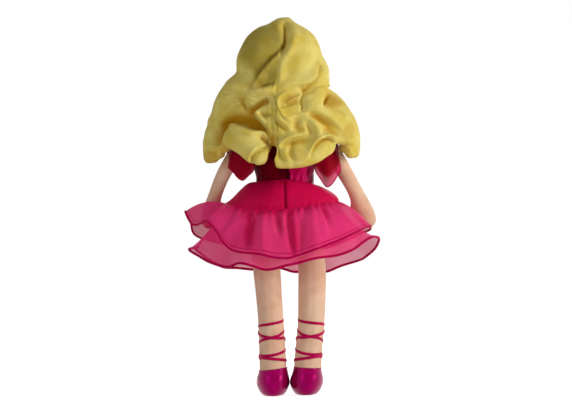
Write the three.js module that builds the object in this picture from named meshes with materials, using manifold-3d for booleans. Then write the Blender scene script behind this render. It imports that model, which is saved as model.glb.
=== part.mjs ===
// A soft cloth doll in a dancing dress, upright, facing -Y with its back to +Y.
// Millimetres, +Z up. The origin is on the floor, midway between the two soles.

import * as THREE from "three";
import { mergeVertices } from "three/addons/utils/BufferGeometryUtils.js";
import Module from "manifold-3d";

const wasm = await Module();
wasm.setup();

// Cloth and clearances
const seamGap = 0.3; // left between two pieces that lie against each other
const skinCloth = 1.2; // plush skin
const satinCloth = 1.0; // bodice, yoke and slippers
const organzaCloth = 0.8; // ruffles and sleeves, with their gathers
const tapeThickness = 0.9; // closure tape inside the bodice's back
const socketGap = 0.5; // round a ball end that turns in its socket

// Feet and legs
const shoeHeight = 29;
const soleHalfWidth = 8.5;
const soleHalfLength = 15;
const footHalfWidth = 16;
const footHalfLength = 24;
const footForward = 10; // how far the middle of the foot lies ahead of the leg
const footSpacing = 17.3; // from the middle plane to the middle of a foot
const hipSpacing = 23.5;
const hipHeight = 155;
const ankleRadius = 13;
const calfRadius = 12.3;
const hipRadius = 12.5;

// Ribbons round the ankles
const ribbonWidth = 2.4;
const ribbonThickness = 0.6;
const ribbonLift = 0.8; // above the skin, so that a flat stretch clears the round leg
const ribbonLayerGap = 0.6; // between the two ribbons where they cross
const ribbonLayer = ribbonThickness + ribbonLayerGap;

// Seat and torso
const seatRise = 24; // from the hips up to the line that the doll folds on when it sits
const seatRadius = 17;
const seatHalfWidth = 36;
const torsoStart = 9; // the torso's lower rim, above the fold line
const hipsHalfWidth = 33;
const hipsHalfDepth = 19;
const waistRise = 38;
const waistHalfWidth = 26;
const waistHalfDepth = 16;
const chestRise = 62;
const chestHalfWidth = 27.5;
const chestHalfDepth = 18;
const shoulderRise = 83;
const shoulderHalfWidth = 34;
const shoulderHalfDepth = 14;
const neckRise = 91;
const neckRadius = 11;
const neckLength = 17; // from the neck's pivot up to the head

// Arms
const armLength = 96;
const armOut = 43; // how far the hand hangs outside the shoulder
const armForward = 36; // and ahead of it, clear of the skirt
const shoulderBall = 9;
const upperArmRadius = 7.4;
const wristRadius = 7;
const handHalfWidth = 10;
const handHalfDepth = 7.4;
const shoulderSpacing = 38;
const armSeamRadius = 6;
const armSeamThickness = 1.4;

// Head and face
const headHeight = 81;
const headHalfWidth = 36;
const headHalfDepth = 34;
const headBack = 1; // the middle of the head, behind the neck
const eyeSpacing = 13;
const eyeRadius = 3.6;
const eyeRise = 38; // above the chin
const mouthRise = 17;
const mouthHalfWidth = 6;
const stitchHeight = 0.8; // how far embroidery stands off the cloth

// Hair
const hairCloth = 5;
const hairPeak = 12; // how far the crown's peak stands above the head
const faceHalfWidth = 28;
const faceHalfHeight = 35;
const faceDepth = 26; // how far back the hair's front edge lies at the cheeks
const fallTop = 57; // the falls' upper edge, above the neck pivot
const fallLength = 78; // down to the lower edge behind
const fallSideSag = 10; // how much lower the falls hang at the sides
const fallHalfWidth = 82;
const fallHalfDepth = 50;
const fallFrontDepth = 34;
const fallPart = 10; // where the two falls meet behind, towards the doll's left
const fallThickness = 7; // at the lower edge
const fallTopThickness = 14;
const fallWave = 1.4; // depth of the long waves at the sides
const fallDeepest = 7; // how far in the deepest fold lies
const curlHeight = 38;
const curlThickness = 15;

// Dress
const bodiceEase = tapeThickness + 2 * seamGap; // between the skin and the bodice
const bodiceTopRise = 80;
const tapeHalfWidth = 4;
const waistSeamHeight = 2.6;
const waistSeamThickness = 0.8;
const pipingGap = 0.6; // round the bodice, which widens upward
const yokeHalfWidth = 56;
const yokeHalfDepth = 35;
const yokeDropBack = 29; // from the waist down to the gathered seam
const yokeDropSide = 22;
const upperHemHalfWidth = 93;
const upperHemHalfDepth = 57;
const upperHemDrop = 47; // from the gathered seam's height behind down to the hem
const lowerHemHalfWidth = 96;
const lowerHemHalfDepth = 54;
const lowerHemDrop = 54;
const lowerInset = organzaCloth + seamGap; // the lower ruffle's seam, inside the upper one's
const ruffleWaves = 11; // round the doll, on the front half
const ruffleWaveDepth = 2.6;
const hemThreadRadius = 0.8;
const sleeveTopRadius = 11.5;
const sleeveHalfWidth = 14;
const sleeveHalfDepth = 22;
const sleeveDrop = 30; // from the shoulder down to the hem
const sleevePoint = 12; // how much lower the points hang, at front and back

// Heights that follow from these
const foldHeight = hipHeight + seatRise;
const torsoBottom = foldHeight + torsoStart;
const waistHeight = foldHeight + waistRise;
const chestHeight = foldHeight + chestRise;
const shoulderHeight = foldHeight + shoulderRise;
const neckHeight = foldHeight + neckRise;
const headBottom = neckHeight + neckLength;
const headMiddle = headBottom + headHeight / 2;
const headTop = headBottom + headHeight;

const skinMaterial = new THREE.MeshStandardMaterial({ color: 0xf0c3a4, roughness: 0.9 });
const fillingMaterial = new THREE.MeshStandardMaterial({ color: 0xf4f1ea, roughness: 1 });
const pelletMaterial = new THREE.MeshStandardMaterial({ color: 0xd9d4c7, roughness: 0.8 });
const hairMaterial = new THREE.MeshStandardMaterial({ color: 0xe3cc62, roughness: 0.85 });
const satinMaterial = new THREE.MeshStandardMaterial({ color: 0xb4005a, roughness: 0.35 });
const organzaMaterial = new THREE.MeshStandardMaterial({ color: 0xd42464, roughness: 0.5 });
const threadMaterial = new THREE.MeshStandardMaterial({ color: 0xa00048, roughness: 0.6 });
const tapeMaterial = new THREE.MeshStandardMaterial({ color: 0x8e0440, roughness: 0.9 });
const eyeMaterial = new THREE.MeshStandardMaterial({ color: 0x3a2a22, roughness: 0.5 });

const doll = new THREE.Group();

function addPiece(parent, name, shape, material) {
  const mesh = new THREE.Mesh(shape.isBufferGeometry ? shape : geometryOf(shape), material);
  mesh.name = name;
  parent.add(mesh);
}

// A geometry as a solid that can be cut and joined.
function solidOf(geometry) {
  const bare = new THREE.BufferGeometry().setAttribute("position", geometry.getAttribute("position"));
  bare.setIndex(geometry.index);
  const merged = mergeVertices(bare, 1e-4);
  return new wasm.Manifold(
    new wasm.Mesh({
      numProp: 3,
      vertProperties: merged.attributes.position.array,
      triVerts: new Uint32Array(merged.index.array),
    })
  );
}

function geometryOf(solid) {
  const mesh = solid.getMesh();
  const geometry = new THREE.BufferGeometry();
  geometry.setAttribute("position", new THREE.BufferAttribute(mesh.vertProperties, 3));
  geometry.setIndex(new THREE.BufferAttribute(mesh.triVerts, 1));
  const faceted = geometry.toNonIndexed();
  faceted.computeVertexNormals();
  return faceted;
}

// A closed body through rows of points: each row is a closed loop, and the ends are capped.
function bodyThroughLoops(loops) {
  const count = loops[0].length;
  const points = loops.flat();
  const faces = [];
  for (let row = 0; row + 1 < loops.length; row++) {
    for (let i = 0; i < count; i++) {
      const next = (i + 1) % count;
      const a = row * count + i;
      const b = row * count + next;
      faces.push(a, b, b + count, a, b + count, a + count);
    }
  }
  for (const [row, turned] of [[0, true], [loops.length - 1, false]]) {
    const middle = new THREE.Vector3();
    loops[row].forEach((p) => middle.addScaledVector(p, 1 / count));
    points.push(middle);
    for (let i = 0; i < count; i++) {
      const pair = [row * count + i, row * count + ((i + 1) % count)];
      if (turned) pair.reverse();
      faces.push(...pair, points.length - 1);
    }
  }
  const geometry = new THREE.BufferGeometry().setFromPoints(points);
  geometry.setIndex(faces);
  return geometry;
}

// A stuffed form: level ellipses, lowest first. Each ring is { z, w, d } with x and y if it is off the axis.
function stuffed(rings, sides) {
  const loops = rings.map(({ x = 0, y = 0, z, w, d }) =>
    Array.from({ length: sides }, (_, i) => {
      const angle = (i / sides) * 2 * Math.PI;
      return new THREE.Vector3(x + w * Math.cos(angle), y + d * Math.sin(angle), z);
    })
  );
  return bodyThroughLoops(loops);
}

// The same form with its surface moved in by some depth, or out if that is negative.
function inset(rings, depth) {
  const last = rings.length - 1;
  return rings.map((ring, i) => ({
    ...ring,
    z: ring.z + (i === 0 ? depth : 0) - (i === last ? depth : 0),
    w: Math.max(ring.w - depth, 0.4),
    d: Math.max(ring.d - depth, 0.4),
  }));
}

// Ring at a height between two others, so that a form can be ended or opened anywhere.
function ringAt(rings, z) {
  const upper = rings.findIndex((r) => r.z >= z);
  if (upper <= 0) return { ...rings[upper === 0 ? 0 : rings.length - 1], z };
  const [a, b] = [rings[upper - 1], rings[upper]];
  const t = (z - a.z) / (b.z - a.z);
  const mix = (key) => THREE.MathUtils.lerp(a[key] ?? 0, b[key] ?? 0, t);
  return { x: mix("x"), y: mix("y"), z, w: mix("w"), d: mix("d") };
}

function stretch(rings, low, high) {
  const inside = rings.filter((r) => r.z > low + 0.5 && r.z < high - 0.5);
  return [ringAt(rings, low), ...inside, ringAt(rings, high)];
}

function ball(radius, x, y, z) {
  return solidOf(new THREE.SphereGeometry(radius, 14, 10)).translate([x, y, z]);
}

// A round bar along X between two places.
function barAlongX(radius, from, to, y, z) {
  const bar = new THREE.CylinderGeometry(radius, radius, to - from, 16).rotateZ(Math.PI / 2);
  return solidOf(bar).translate([(from + to) / 2, y, z]);
}

function block(low, high) {
  const size = low.map((v, i) => high[i] - v);
  return solidOf(new THREE.BoxGeometry(...size)).translate(low.map((v, i) => v + size[i] / 2));
}

// A solid from points and faces, turned the right way out.
function closedSolid(points, faces) {
  const geometry = new THREE.BufferGeometry().setFromPoints(points);
  geometry.setIndex(faces);
  const solid = solidOf(geometry);
  if (solid.volume() > 0) return solid;
  for (let i = 0; i < faces.length; i += 3) [faces[i], faces[i + 1]] = [faces[i + 1], faces[i]];
  geometry.setIndex(faces);
  return solidOf(geometry);
}

// A sheet of cloth between an outer and an inner surface. It runs right round the doll, or has two open ends.
function sheetOf(point, columns, rows, thickness, round) {
  const points = [];
  const faces = [];
  const lines = round ? columns : columns + 1;
  for (let i = 0; i < lines; i++) {
    for (let j = 0; j <= rows; j++) {
      for (const depth of [0, thickness]) points.push(point(i / columns, j / rows, depth));
    }
  }
  const at = (i, j, inner) => ((i % lines) * (rows + 1) + j) * 2 + inner;
  const quad = (a, b, c, d) => faces.push(a, b, c, a, c, d);
  for (let i = 0; i < columns; i++) {
    for (let j = 0; j < rows; j++) {
      quad(at(i, j, 0), at(i, j + 1, 0), at(i + 1, j + 1, 0), at(i + 1, j, 0));
      quad(at(i, j, 1), at(i + 1, j, 1), at(i + 1, j + 1, 1), at(i, j + 1, 1));
    }
    quad(at(i, 0, 0), at(i + 1, 0, 0), at(i + 1, 0, 1), at(i, 0, 1));
    quad(at(i, rows, 0), at(i, rows, 1), at(i + 1, rows, 1), at(i + 1, rows, 0));
  }
  for (let j = 0; j < rows && !round; j++) {
    quad(at(0, j, 0), at(0, j, 1), at(0, j + 1, 1), at(0, j + 1, 0));
    quad(at(columns, j, 0), at(columns, j + 1, 0), at(columns, j + 1, 1), at(columns, j, 1));
  }
  return closedSolid(points, faces);
}

function sheetRound(point, columns, rows, thickness) {
  const atShare = (share, down, depth) => point(share * 2 * Math.PI, down, depth);
  return sheetOf(atShare, columns, rows, thickness, true);
}

// Far beyond the doll in every direction, for blocks that only cut.
const far = 500;

// Legs

// The leg from sole to hip, measured from the hip's pivot. The foot lies nearer the middle than the hip.
function legRings(side) {
  const lean = side * (footSpacing - hipSpacing);
  const legMiddle = (height) => lean * (1 - height / hipHeight) ** 2;
  const foot = [
    [0, soleHalfWidth, soleHalfLength, 1],
    [2.5, footHalfWidth * 0.75, footHalfLength * 0.84, 1],
    [7, footHalfWidth * 0.94, footHalfLength * 0.97, 1],
    [13, footHalfWidth, footHalfLength * 0.93, 0.85],
    [19, footHalfWidth * 0.94, (footHalfLength + ankleRadius) / 2, 0.45],
    [24, footHalfWidth * 0.88, ankleRadius * 1.1, 0.15],
    [shoeHeight, ankleRadius * 1.04, ankleRadius, 0],
  ].map(([height, w, d, ahead]) => ({ height, w, d, y: -footForward * ahead }));
  const shank = [
    [shoeHeight + 17, ankleRadius - 0.3],
    [(shoeHeight + hipHeight) * 0.45, calfRadius],
    [(shoeHeight + hipHeight) * 0.62, calfRadius],
    [hipHeight - 25, hipRadius + 0.5],
    [hipHeight, hipRadius],
  ].map(([height, r]) => ({ height, w: r, d: r * 0.97, y: 0 }));
  const top = [0.5, 0.8, 0.97].map((rise) => {
    const r = hipRadius * Math.sqrt(1 - rise * rise);
    return { height: hipHeight + hipRadius * rise, w: r, d: r, y: 0 };
  });
  return [...foot, ...shank, ...top].map(({ height, w, d, y }) => ({
    x: height < hipHeight ? legMiddle(height) : 0,
    y,
    z: height - hipHeight,
    w,
    d,
  }));
}

// A ribbon round the ankle. Its way is a list of [half turns from the outer side, height above the floor],
// and it winds from the outer side over the back, or the other way round if turned.
function ribbon(rings, side, way, turned, layer) {
  const stepsPerHalfTurn = 7;
  const heights = way.map(([, height]) => height);
  const start = way[0][0];
  const total = way[way.length - 1][0] - start;
  const steps = Math.round(total * stepsPerHalfTurn);
  const loops = [];
  for (let step = 0; step <= steps; step++) {
    const halfTurns = start + (step / steps) * total;
    const after = Math.max(1, way.findIndex(([at]) => at >= halfTurns - 1e-9));
    const [from, to] = [way[after - 1], way[after]];
    const share = (halfTurns - from[0]) / (to[0] - from[0]);
    const height = THREE.MathUtils.lerp(heights[after - 1], heights[after], share);
    const angle = Math.PI * (turned ? 1 - halfTurns : halfTurns);
    const corner = (out, up) => {
      const z = height - hipHeight + up;
      const leg = ringAt(rings, z);
      const reach = ribbonLift + layer * ribbonLayer + out;
      const x = leg.x + side * (leg.w + reach) * Math.cos(angle);
      return new THREE.Vector3(x, leg.y + (leg.d + reach) * Math.sin(angle), z);
    };
    const half = ribbonWidth / 2;
    const face = ribbonThickness;
    loops.push([corner(0, -half), corner(0, half), corner(face, half), corner(face, -half)]);
  }
  const band = solidOf(bodyThroughLoops(loops));
  return band.volume() > 0 ? band : solidOf(bodyThroughLoops(loops.reverse()));
}

// Heights where the two ribbons of an ankle pass its sides, as seen in the photograph.
const ribbonOverBack = [[-0.5, 34], [0, 41.8], [1, 48.1], [2, 55.8], [3, 67.1], [4, 72.6], [5, 78.2], [5.4, 80]];
const ribbonUnderBack = [[-0.5, 32.5], [0, 37.1], [1, 41.8], [2, 58.6], [3, 65.8], [3.4, 70]];

function addLeg(side, word) {
  const leg = new THREE.Group();
  leg.position.set(side * hipSpacing, 0, hipHeight);
  const rings = legRings(side);
  const sides = 12;
  const shoeTop = shoeHeight - hipHeight;
  const whole = solidOf(stuffed(rings, sides));
  const hollow = solidOf(stuffed(inset(rings, skinCloth), sides));
  const filling = stuffed(inset(rings, skinCloth + seamGap), sides);
  const shell = whole.subtract(hollow);
  const aboveShoe = block([-far, -far, shoeTop + seamGap], [far, far, far]);
  const belowShoeTop = block([-far, -far, -far], [far, far, shoeTop]);
  addPiece(leg, `leg_skin_${word}`, shell.intersect(aboveShoe), skinMaterial);
  addPiece(leg, `slipper_${word}`, shell.intersect(belowShoeTop), satinMaterial);
  addPiece(leg, `leg_filling_${word}`, filling, fillingMaterial);
  addPiece(leg, `ankle_ribbon_inner_${word}`, ribbon(rings, side, ribbonOverBack, false, 0), threadMaterial);
  addPiece(leg, `ankle_ribbon_outer_${word}`, ribbon(rings, side, ribbonUnderBack, true, 1), threadMaterial);
  doll.add(leg);
}

// Seat: a stuffed roll that turns in the torso's lower end and carries both hips

function addSeat() {
  const roll = (shrink) => {
    const r = seatRadius - shrink;
    const half = seatHalfWidth - shrink;
    const flat = half - r * 0.6;
    const profile = [new THREE.Vector2(0, -half)];
    for (const turn of [0.35, 0.7]) {
      const angle = (turn * Math.PI) / 2;
      profile.push(new THREE.Vector2(r * Math.sin(angle), -flat - (half - flat) * Math.cos(angle)));
    }
    const other = profile.map((p) => new THREE.Vector2(p.x, -p.y)).reverse();
    const points = [...profile, new THREE.Vector2(r, -flat), new THREE.Vector2(r, flat), ...other];
    return solidOf(new THREE.LatheGeometry(points, 16).rotateZ(-Math.PI / 2)).translate([0, 0, foldHeight]);
  };
  const hipBalls = (radius) =>
    ball(radius, hipSpacing, 0, hipHeight).add(ball(radius, -hipSpacing, 0, hipHeight));
  const sockets = hipBalls(hipRadius + socketGap);
  const skin = roll(0).subtract(roll(skinCloth)).subtract(sockets);
  const pellets = roll(skinCloth + seamGap).subtract(hipBalls(hipRadius + socketGap + seamGap));
  addPiece(doll, "seat_skin", skin, skinMaterial);
  addPiece(doll, "seat_pellet_bag", pellets, pelletMaterial);
}

// Torso and neck

const torsoRings = [
  { z: torsoBottom, w: hipsHalfWidth, d: hipsHalfDepth },
  { z: torsoBottom + 12, w: hipsHalfWidth - 2, d: hipsHalfDepth - 0.5 },
  { z: waistHeight, w: waistHalfWidth, d: waistHalfDepth },
  { z: chestHeight, w: chestHalfWidth, d: chestHalfDepth },
  { z: (chestHeight + shoulderHeight) / 2, w: (chestHalfWidth + shoulderHalfWidth) / 2, d: chestHalfDepth - 1 },
  { z: shoulderHeight, w: shoulderHalfWidth, d: shoulderHalfDepth },
  { z: shoulderHeight + 5, w: shoulderHalfWidth - 8, d: shoulderHalfDepth - 1 },
  { z: neckHeight + 2, w: neckRadius + 4, d: neckRadius + 1.5 },
];
const torsoSides = 16;
const bodiceSides = 16;

function shoulderSockets(extra) {
  let cut = null;
  for (const side of [1, -1]) {
    const x = side * shoulderSpacing;
    const inner = side * (shoulderSpacing - shoulderBall - seamGap - armSeamThickness - seamGap - extra);
    const [from, to] = [Math.min(x, inner), Math.max(x, inner)];
    const pocket = barAlongX(armSeamRadius + seamGap + extra, from, to, 0, shoulderHeight);
    const socket = ball(shoulderBall + socketGap + extra, x, 0, shoulderHeight).add(pocket);
    cut = cut ? cut.add(socket) : socket;
  }
  return cut;
}

function torsoCuts(extra) {
  return shoulderSockets(extra)
    .add(barAlongX(seatRadius + socketGap + extra, -seatHalfWidth - 2, seatHalfWidth + 2, 0, foldHeight))
    .add(ball(neckRadius + socketGap + extra, 0, 0, neckHeight));
}

function addTorso() {
  const outer = solidOf(stuffed(torsoRings, torsoSides));
  const opened = inset(torsoRings, skinCloth);
  opened[0].z = torsoBottom - 2;
  const skin = outer.subtract(solidOf(stuffed(opened, torsoSides))).subtract(torsoCuts(0));
  const filling = solidOf(stuffed(inset(torsoRings, skinCloth + seamGap), torsoSides));
  addPiece(doll, "torso_skin", skin, skinMaterial);
  addPiece(doll, "torso_filling", filling.subtract(torsoCuts(seamGap)), fillingMaterial);
}

function addNeck() {
  const rings = [];
  for (const drop of [0.95, 0.75, 0.4]) {
    const r = neckRadius * Math.sqrt(1 - drop * drop);
    rings.push({ z: neckHeight - neckRadius * drop, w: r, d: r });
  }
  rings.push({ z: neckHeight, w: neckRadius, d: neckRadius });
  rings.push({ z: headBottom - seamGap + 3, w: neckRadius - 0.8, d: neckRadius - 0.8 });
  addPiece(doll, "neck", stuffed(rings, 16), skinMaterial);
}

// Arms, each in a group at its shoulder

const armStations = [
  // share of the arm's length, half width, half depth
  [1, 1.8, 1.5],
  [0.975, handHalfWidth * 0.62, handHalfDepth * 0.62],
  [0.89, handHalfWidth, handHalfDepth],
  [0.77, handHalfWidth, handHalfDepth],
  [0.6, wristRadius * 1.15, wristRadius],
  [0.42, upperArmRadius, upperArmRadius * 0.9],
  [0.22, upperArmRadius * 1.05, upperArmRadius * 0.95],
  [0.1, shoulderBall * 0.93, shoulderBall * 0.93],
];

function armRings(side) {
  const hanging = armStations.map(([share, w, d]) => ({
    x: side * armOut * Math.sin((share * Math.PI) / 2) ** 0.95,
    y: -armForward * share ** 1.5,
    z: -armLength * share,
    w,
    d,
  }));
  const top = [0, 0.55, 0.87].map((rise) => {
    const r = shoulderBall * Math.sqrt(1 - rise * rise);
    return { z: shoulderBall * rise, w: r, d: r };
  });
  return [...hanging, ...top];
}

function addArm(side, word) {
  const arm = new THREE.Group();
  arm.position.set(side * shoulderSpacing, 0, shoulderHeight);
  const rings = armRings(side);
  const sides = 10;
  const opened = inset(rings, skinCloth);
  opened.push({ ...opened[opened.length - 1], z: shoulderBall + 2 });
  const skin = solidOf(stuffed(rings, sides)).subtract(solidOf(stuffed(opened, sides)));
  addPiece(arm, `arm_skin_${word}`, skin, skinMaterial);
  addPiece(arm, `arm_filling_${word}`, stuffed(inset(rings, skinCloth + seamGap), sides), fillingMaterial);
  const seam = new THREE.CylinderGeometry(armSeamRadius, armSeamRadius, armSeamThickness, 16);
  seam.rotateZ(Math.PI / 2).translate(-side * (shoulderBall + seamGap + armSeamThickness / 2), 0, 0);
  addPiece(arm, `arm_seam_${word}`, seam, skinMaterial);
  doll.add(arm);
}

// Head, with an embroidered face

const headRings = [0, 0.06, 0.2, 0.42, 0.62, 0.8, 0.93, 1].map((share) => {
  const round = Math.sqrt(Math.max(0, 1 - (2 * share - 1) ** 2));
  const full = Math.max(0.12, round ** 0.85);
  return { y: headBack, z: headBottom + headHeight * share, w: headHalfWidth * full, d: headHalfDepth * full };
});
const headSides = 18;

// A low pad of stitches on the front of the head, seen as an ellipse from the front.
function stitchedPad(x, rise, halfWidth, halfHeight) {
  const under = solidOf(stuffed(inset(headRings, -seamGap), headSides));
  const over = solidOf(stuffed(inset(headRings, -seamGap - stitchHeight), headSides));
  const outline = new THREE.CylinderGeometry(1, 1, headHalfDepth * 2, 12).scale(halfWidth, 1, halfHeight);
  outline.translate(x, -headHalfDepth, headBottom + rise);
  return over.subtract(under).intersect(solidOf(outline));
}

function addHead() {
  const outer = solidOf(stuffed(headRings, headSides));
  const roomRadius = neckRadius + seamGap;
  const neckHole = new THREE.CylinderGeometry(roomRadius, roomRadius, 12, 20).rotateX(Math.PI / 2);
  const neckRoom = solidOf(neckHole).translate([0, 0, headBottom]);
  const hollow = solidOf(stuffed(inset(headRings, skinCloth), headSides));
  addPiece(doll, "head_skin", outer.subtract(hollow).subtract(neckRoom), skinMaterial);
  const filling = solidOf(stuffed(inset(headRings, skinCloth + seamGap), headSides));
  const neckEnd = block([-far, -far, -far], [far, far, headBottom + 6]);
  addPiece(doll, "head_filling", filling.subtract(neckEnd), fillingMaterial);
  addPiece(doll, "eye_left", stitchedPad(eyeSpacing, eyeRise, eyeRadius, eyeRadius * 1.2), eyeMaterial);
  addPiece(doll, "eye_right", stitchedPad(-eyeSpacing, eyeRise, eyeRadius, eyeRadius * 1.2), eyeMaterial);
  addPiece(doll, "mouth", stitchedPad(0, mouthRise, mouthHalfWidth, 1.2), threadMaterial);
}

// Hair: two crown lobes on the head, two falls behind the shoulders and four rolled ends

const crownRings = [
  { z: headBottom + 6, w: 0.8, d: 0.8 },
  { z: headBottom + 20, w: 1, d: 0.98 },
  { z: headMiddle, w: 1.12, d: 1.04 },
  { z: headMiddle + 14, w: 1.06, d: 1.02 },
  { z: headMiddle + 26, w: 0.93, d: 0.9 },
  { z: headTop - 2, w: 0.7, d: 0.7 },
  { z: headTop + hairPeak * 0.45, w: 0.42, d: 0.46 },
  { z: headTop + hairPeak * 0.78, w: 0.22, d: 0.26 },
  { z: headTop + hairPeak, w: 0.08, d: 0.1 },
].map(({ z, w, d }) => ({
  y: headBack + 2,
  z,
  w: w * (headHalfWidth + hairCloth),
  d: d * (headHalfDepth + hairCloth + 1),
}));

function crownSolid(extra) {
  return solidOf(stuffed(inset(crownRings, -extra), 24));
}

function faceOpening() {
  const opening = new THREE.SphereGeometry(1, 16, 12).scale(faceHalfWidth, headHalfDepth, faceHalfHeight);
  return solidOf(opening).translate([0, -faceDepth - hairCloth, headBottom + faceHalfHeight - 6]);
}

function addCrown() {
  const head = solidOf(stuffed(inset(headRings, -seamGap), headSides));
  const cap = crownSolid(0).subtract(head).subtract(faceOpening());
  const left = block([seamGap / 2, -far, -far], [far, far, far]);
  const right = block([-far, -far, -far], [-seamGap / 2, far, far]);
  addPiece(doll, "hair_crown_left", cap.intersect(left), hairMaterial);
  addPiece(doll, "hair_crown_right", cap.intersect(right), hairMaterial);
}

// How far a cloth stands out at a place of the back view, from folds drawn there as lines.
function foldOut(folds, x, z) {
  let out = 0;
  for (const { lift, width, line } of folds) {
    let nearest = Infinity;
    for (let i = 0; i + 1 < line.length; i++) {
      const [[ax, az], [bx, bz]] = [line[i], line[i + 1]];
      const along = ((x - ax) * (bx - ax) + (z - az) * (bz - az)) / ((bx - ax) ** 2 + (bz - az) ** 2);
      const t = THREE.MathUtils.clamp(along, 0, 1);
      nearest = Math.min(nearest, Math.hypot(x - ax - t * (bx - ax), z - az - t * (bz - az)));
    }
    out += lift * Math.exp(-((nearest / width) ** 2));
  }
  return out;
}

// The hanging hair's form at shares of the way down: half widths towards the doll's left and right as shares
// of fallHalfWidth, depth behind as a share of fallHalfDepth, and degrees round from the back to the front edge
const fallForm = [
  [0, 0.56, 0.59, 0.89, 136],
  [0.1, 0.65, 0.588, 0.89, 132],
  [0.23, 0.73, 0.57, 0.885, 127],
  [0.35, 0.785, 0.697, 0.9, 124],
  [0.5, 0.845, 0.8, 0.945, 120],
  [0.69, 0.915, 0.875, 0.98, 117],
  [0.86, 0.96, 0.917, 1, 115],
  [1, 1, 0.94, 1, 113],
];

// The hair's main folds in the back view: points are x and height above the neck pivot
const fallFolds = [
  { lift: 6, width: 9, line: [[48, 40], [60, 26], [69, 12], [75, -13]] },
  { lift: -5, width: 7, line: [[35, 20], [21, 24], [13, 28]] },
  { lift: -6, width: 9, line: [[62, 6], [51, 10], [38, 9], [28, 4], [14, -12]] },
  { lift: 5, width: 11, line: [[49, -10], [28, -25]] },
  { lift: -5, width: 6, line: [[56, 9], [62, -1], [62, -18]] },
  { lift: 2.5, width: 5, line: [[11, 23], [25, 16], [18, 3], [12, -7]] },
  { lift: 4.5, width: 8, line: [[-35, 42], [-29, 25]] },
  { lift: -3, width: 6, line: [[-20, 22], [-21, 14]] },
  { lift: 2.5, width: 5, line: [[-13, 36], [4, 28], [4, 18], [-6, 6]] },
  { lift: -3.5, width: 6, line: [[-48, 36], [-43, 26]] },
  { lift: -4.5, width: 6.5, line: [[-25, 12], [-41, 5], [-49, -2]] },
  { lift: 3.5, width: 5, line: [[-24, 19], [-47, 13], [-63, -3]] },
  { lift: 3.5, width: 5, line: [[-30, 8], [-35, -6], [-26, -18]] },
  { lift: -4, width: 5.5, line: [[-42, -4], [-58, -14]] },
  { lift: 5, width: 9, line: [[-67, 13], [-72, -10]] },
  { lift: -4, width: 5.5, line: [[-14, 9], [-17, -6]] },
  { lift: 4.5, width: 9, line: [[-6, -31], [-28, -30]] },
];

// A point of the hanging hair: share of the way round, from -1 at the doll's right front edge over the back to 1
// at the left one, share of the way down, and depth in. The inner side follows the folds by half.
function fallPoint(round, down, depth) {
  const after = Math.max(1, fallForm.findIndex(([share]) => share >= Math.min(down, 1)));
  const [from, to] = [fallForm[after - 1], fallForm[after]];
  const mix = (key) => THREE.MathUtils.lerp(from[key], to[key], (down - from[0]) / (to[0] - from[0]));
  const [left, right] = [mix(1) * fallHalfWidth, mix(2) * fallHalfWidth];
  const turn = THREE.MathUtils.degToRad(mix(4) * (0.8 * round + 0.2 * round ** 3));
  const behind = THREE.MathUtils.smoothstep(Math.cos(turn), -0.05, 0.5);
  const aside = 1 - THREE.MathUtils.smoothstep(Math.cos(turn), -0.2, 0.12);
  const z = fallTop - (fallLength + fallSideSag * aside) * down;
  const x = (left - right) / 2 + ((left + right) / 2) * Math.sin(turn);
  const waves = fallWave * down * Math.sin(9 * turn);
  const folds = Math.max(foldOut(fallFolds, x, z), -fallDeepest);
  const out = THREE.MathUtils.lerp(waves, folds, behind) * (depth > 0 ? 0.5 : 1) - depth;
  const halfDepth = Math.cos(turn) > 0 ? mix(3) * fallHalfDepth : fallFrontDepth;
  return new THREE.Vector3(x + out * Math.sin(turn), (halfDepth + out) * Math.cos(turn), neckHeight + z);
}

function fallSheet() {
  const thicknessAt = (down) => THREE.MathUtils.lerp(fallTopThickness, fallThickness, Math.min(down * 2, 1));
  const point = (share, down, inner) => fallPoint(2 * share - 1, down, inner * thicknessAt(down));
  return sheetOf(point, 46, 13, 1, false);
}

function fallHalf(side) {
  const edge = fallPart + (side * seamGap) / 2;
  return side > 0 ? block([edge, -far, -far], [far, far, far]) : block([-far, -far, -far], [edge, far, far]);
}

function addFalls() {
  const hanging = fallSheet().subtract(crownSolid(seamGap));
  addPiece(doll, "hair_fall_left", hanging.intersect(fallHalf(1)), hairMaterial);
  addPiece(doll, "hair_fall_right", hanging.intersect(fallHalf(-1)), hairMaterial);
}

// A rolled end under a fall: the lower part of an ellipsoid lying along the fall's lower edge.
function addCurl(name, side, round, halfLength) {
  const middle = fallPoint(round, 1, curlThickness / 2);
  const ahead = fallPoint(round + 0.02, 1, curlThickness / 2).sub(middle);
  const roll = new THREE.SphereGeometry(1, 14, 10).scale(halfLength, curlThickness / 2, curlHeight / 2);
  roll.rotateZ(Math.atan2(ahead.y, ahead.x)).translate(middle.x, middle.y, middle.z + 1);
  const below = block([-far, -far, -far], [far, far, middle.z - seamGap]);
  addPiece(doll, name, solidOf(roll).intersect(below).intersect(fallHalf(side)), hairMaterial);
}

// Dress

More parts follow.
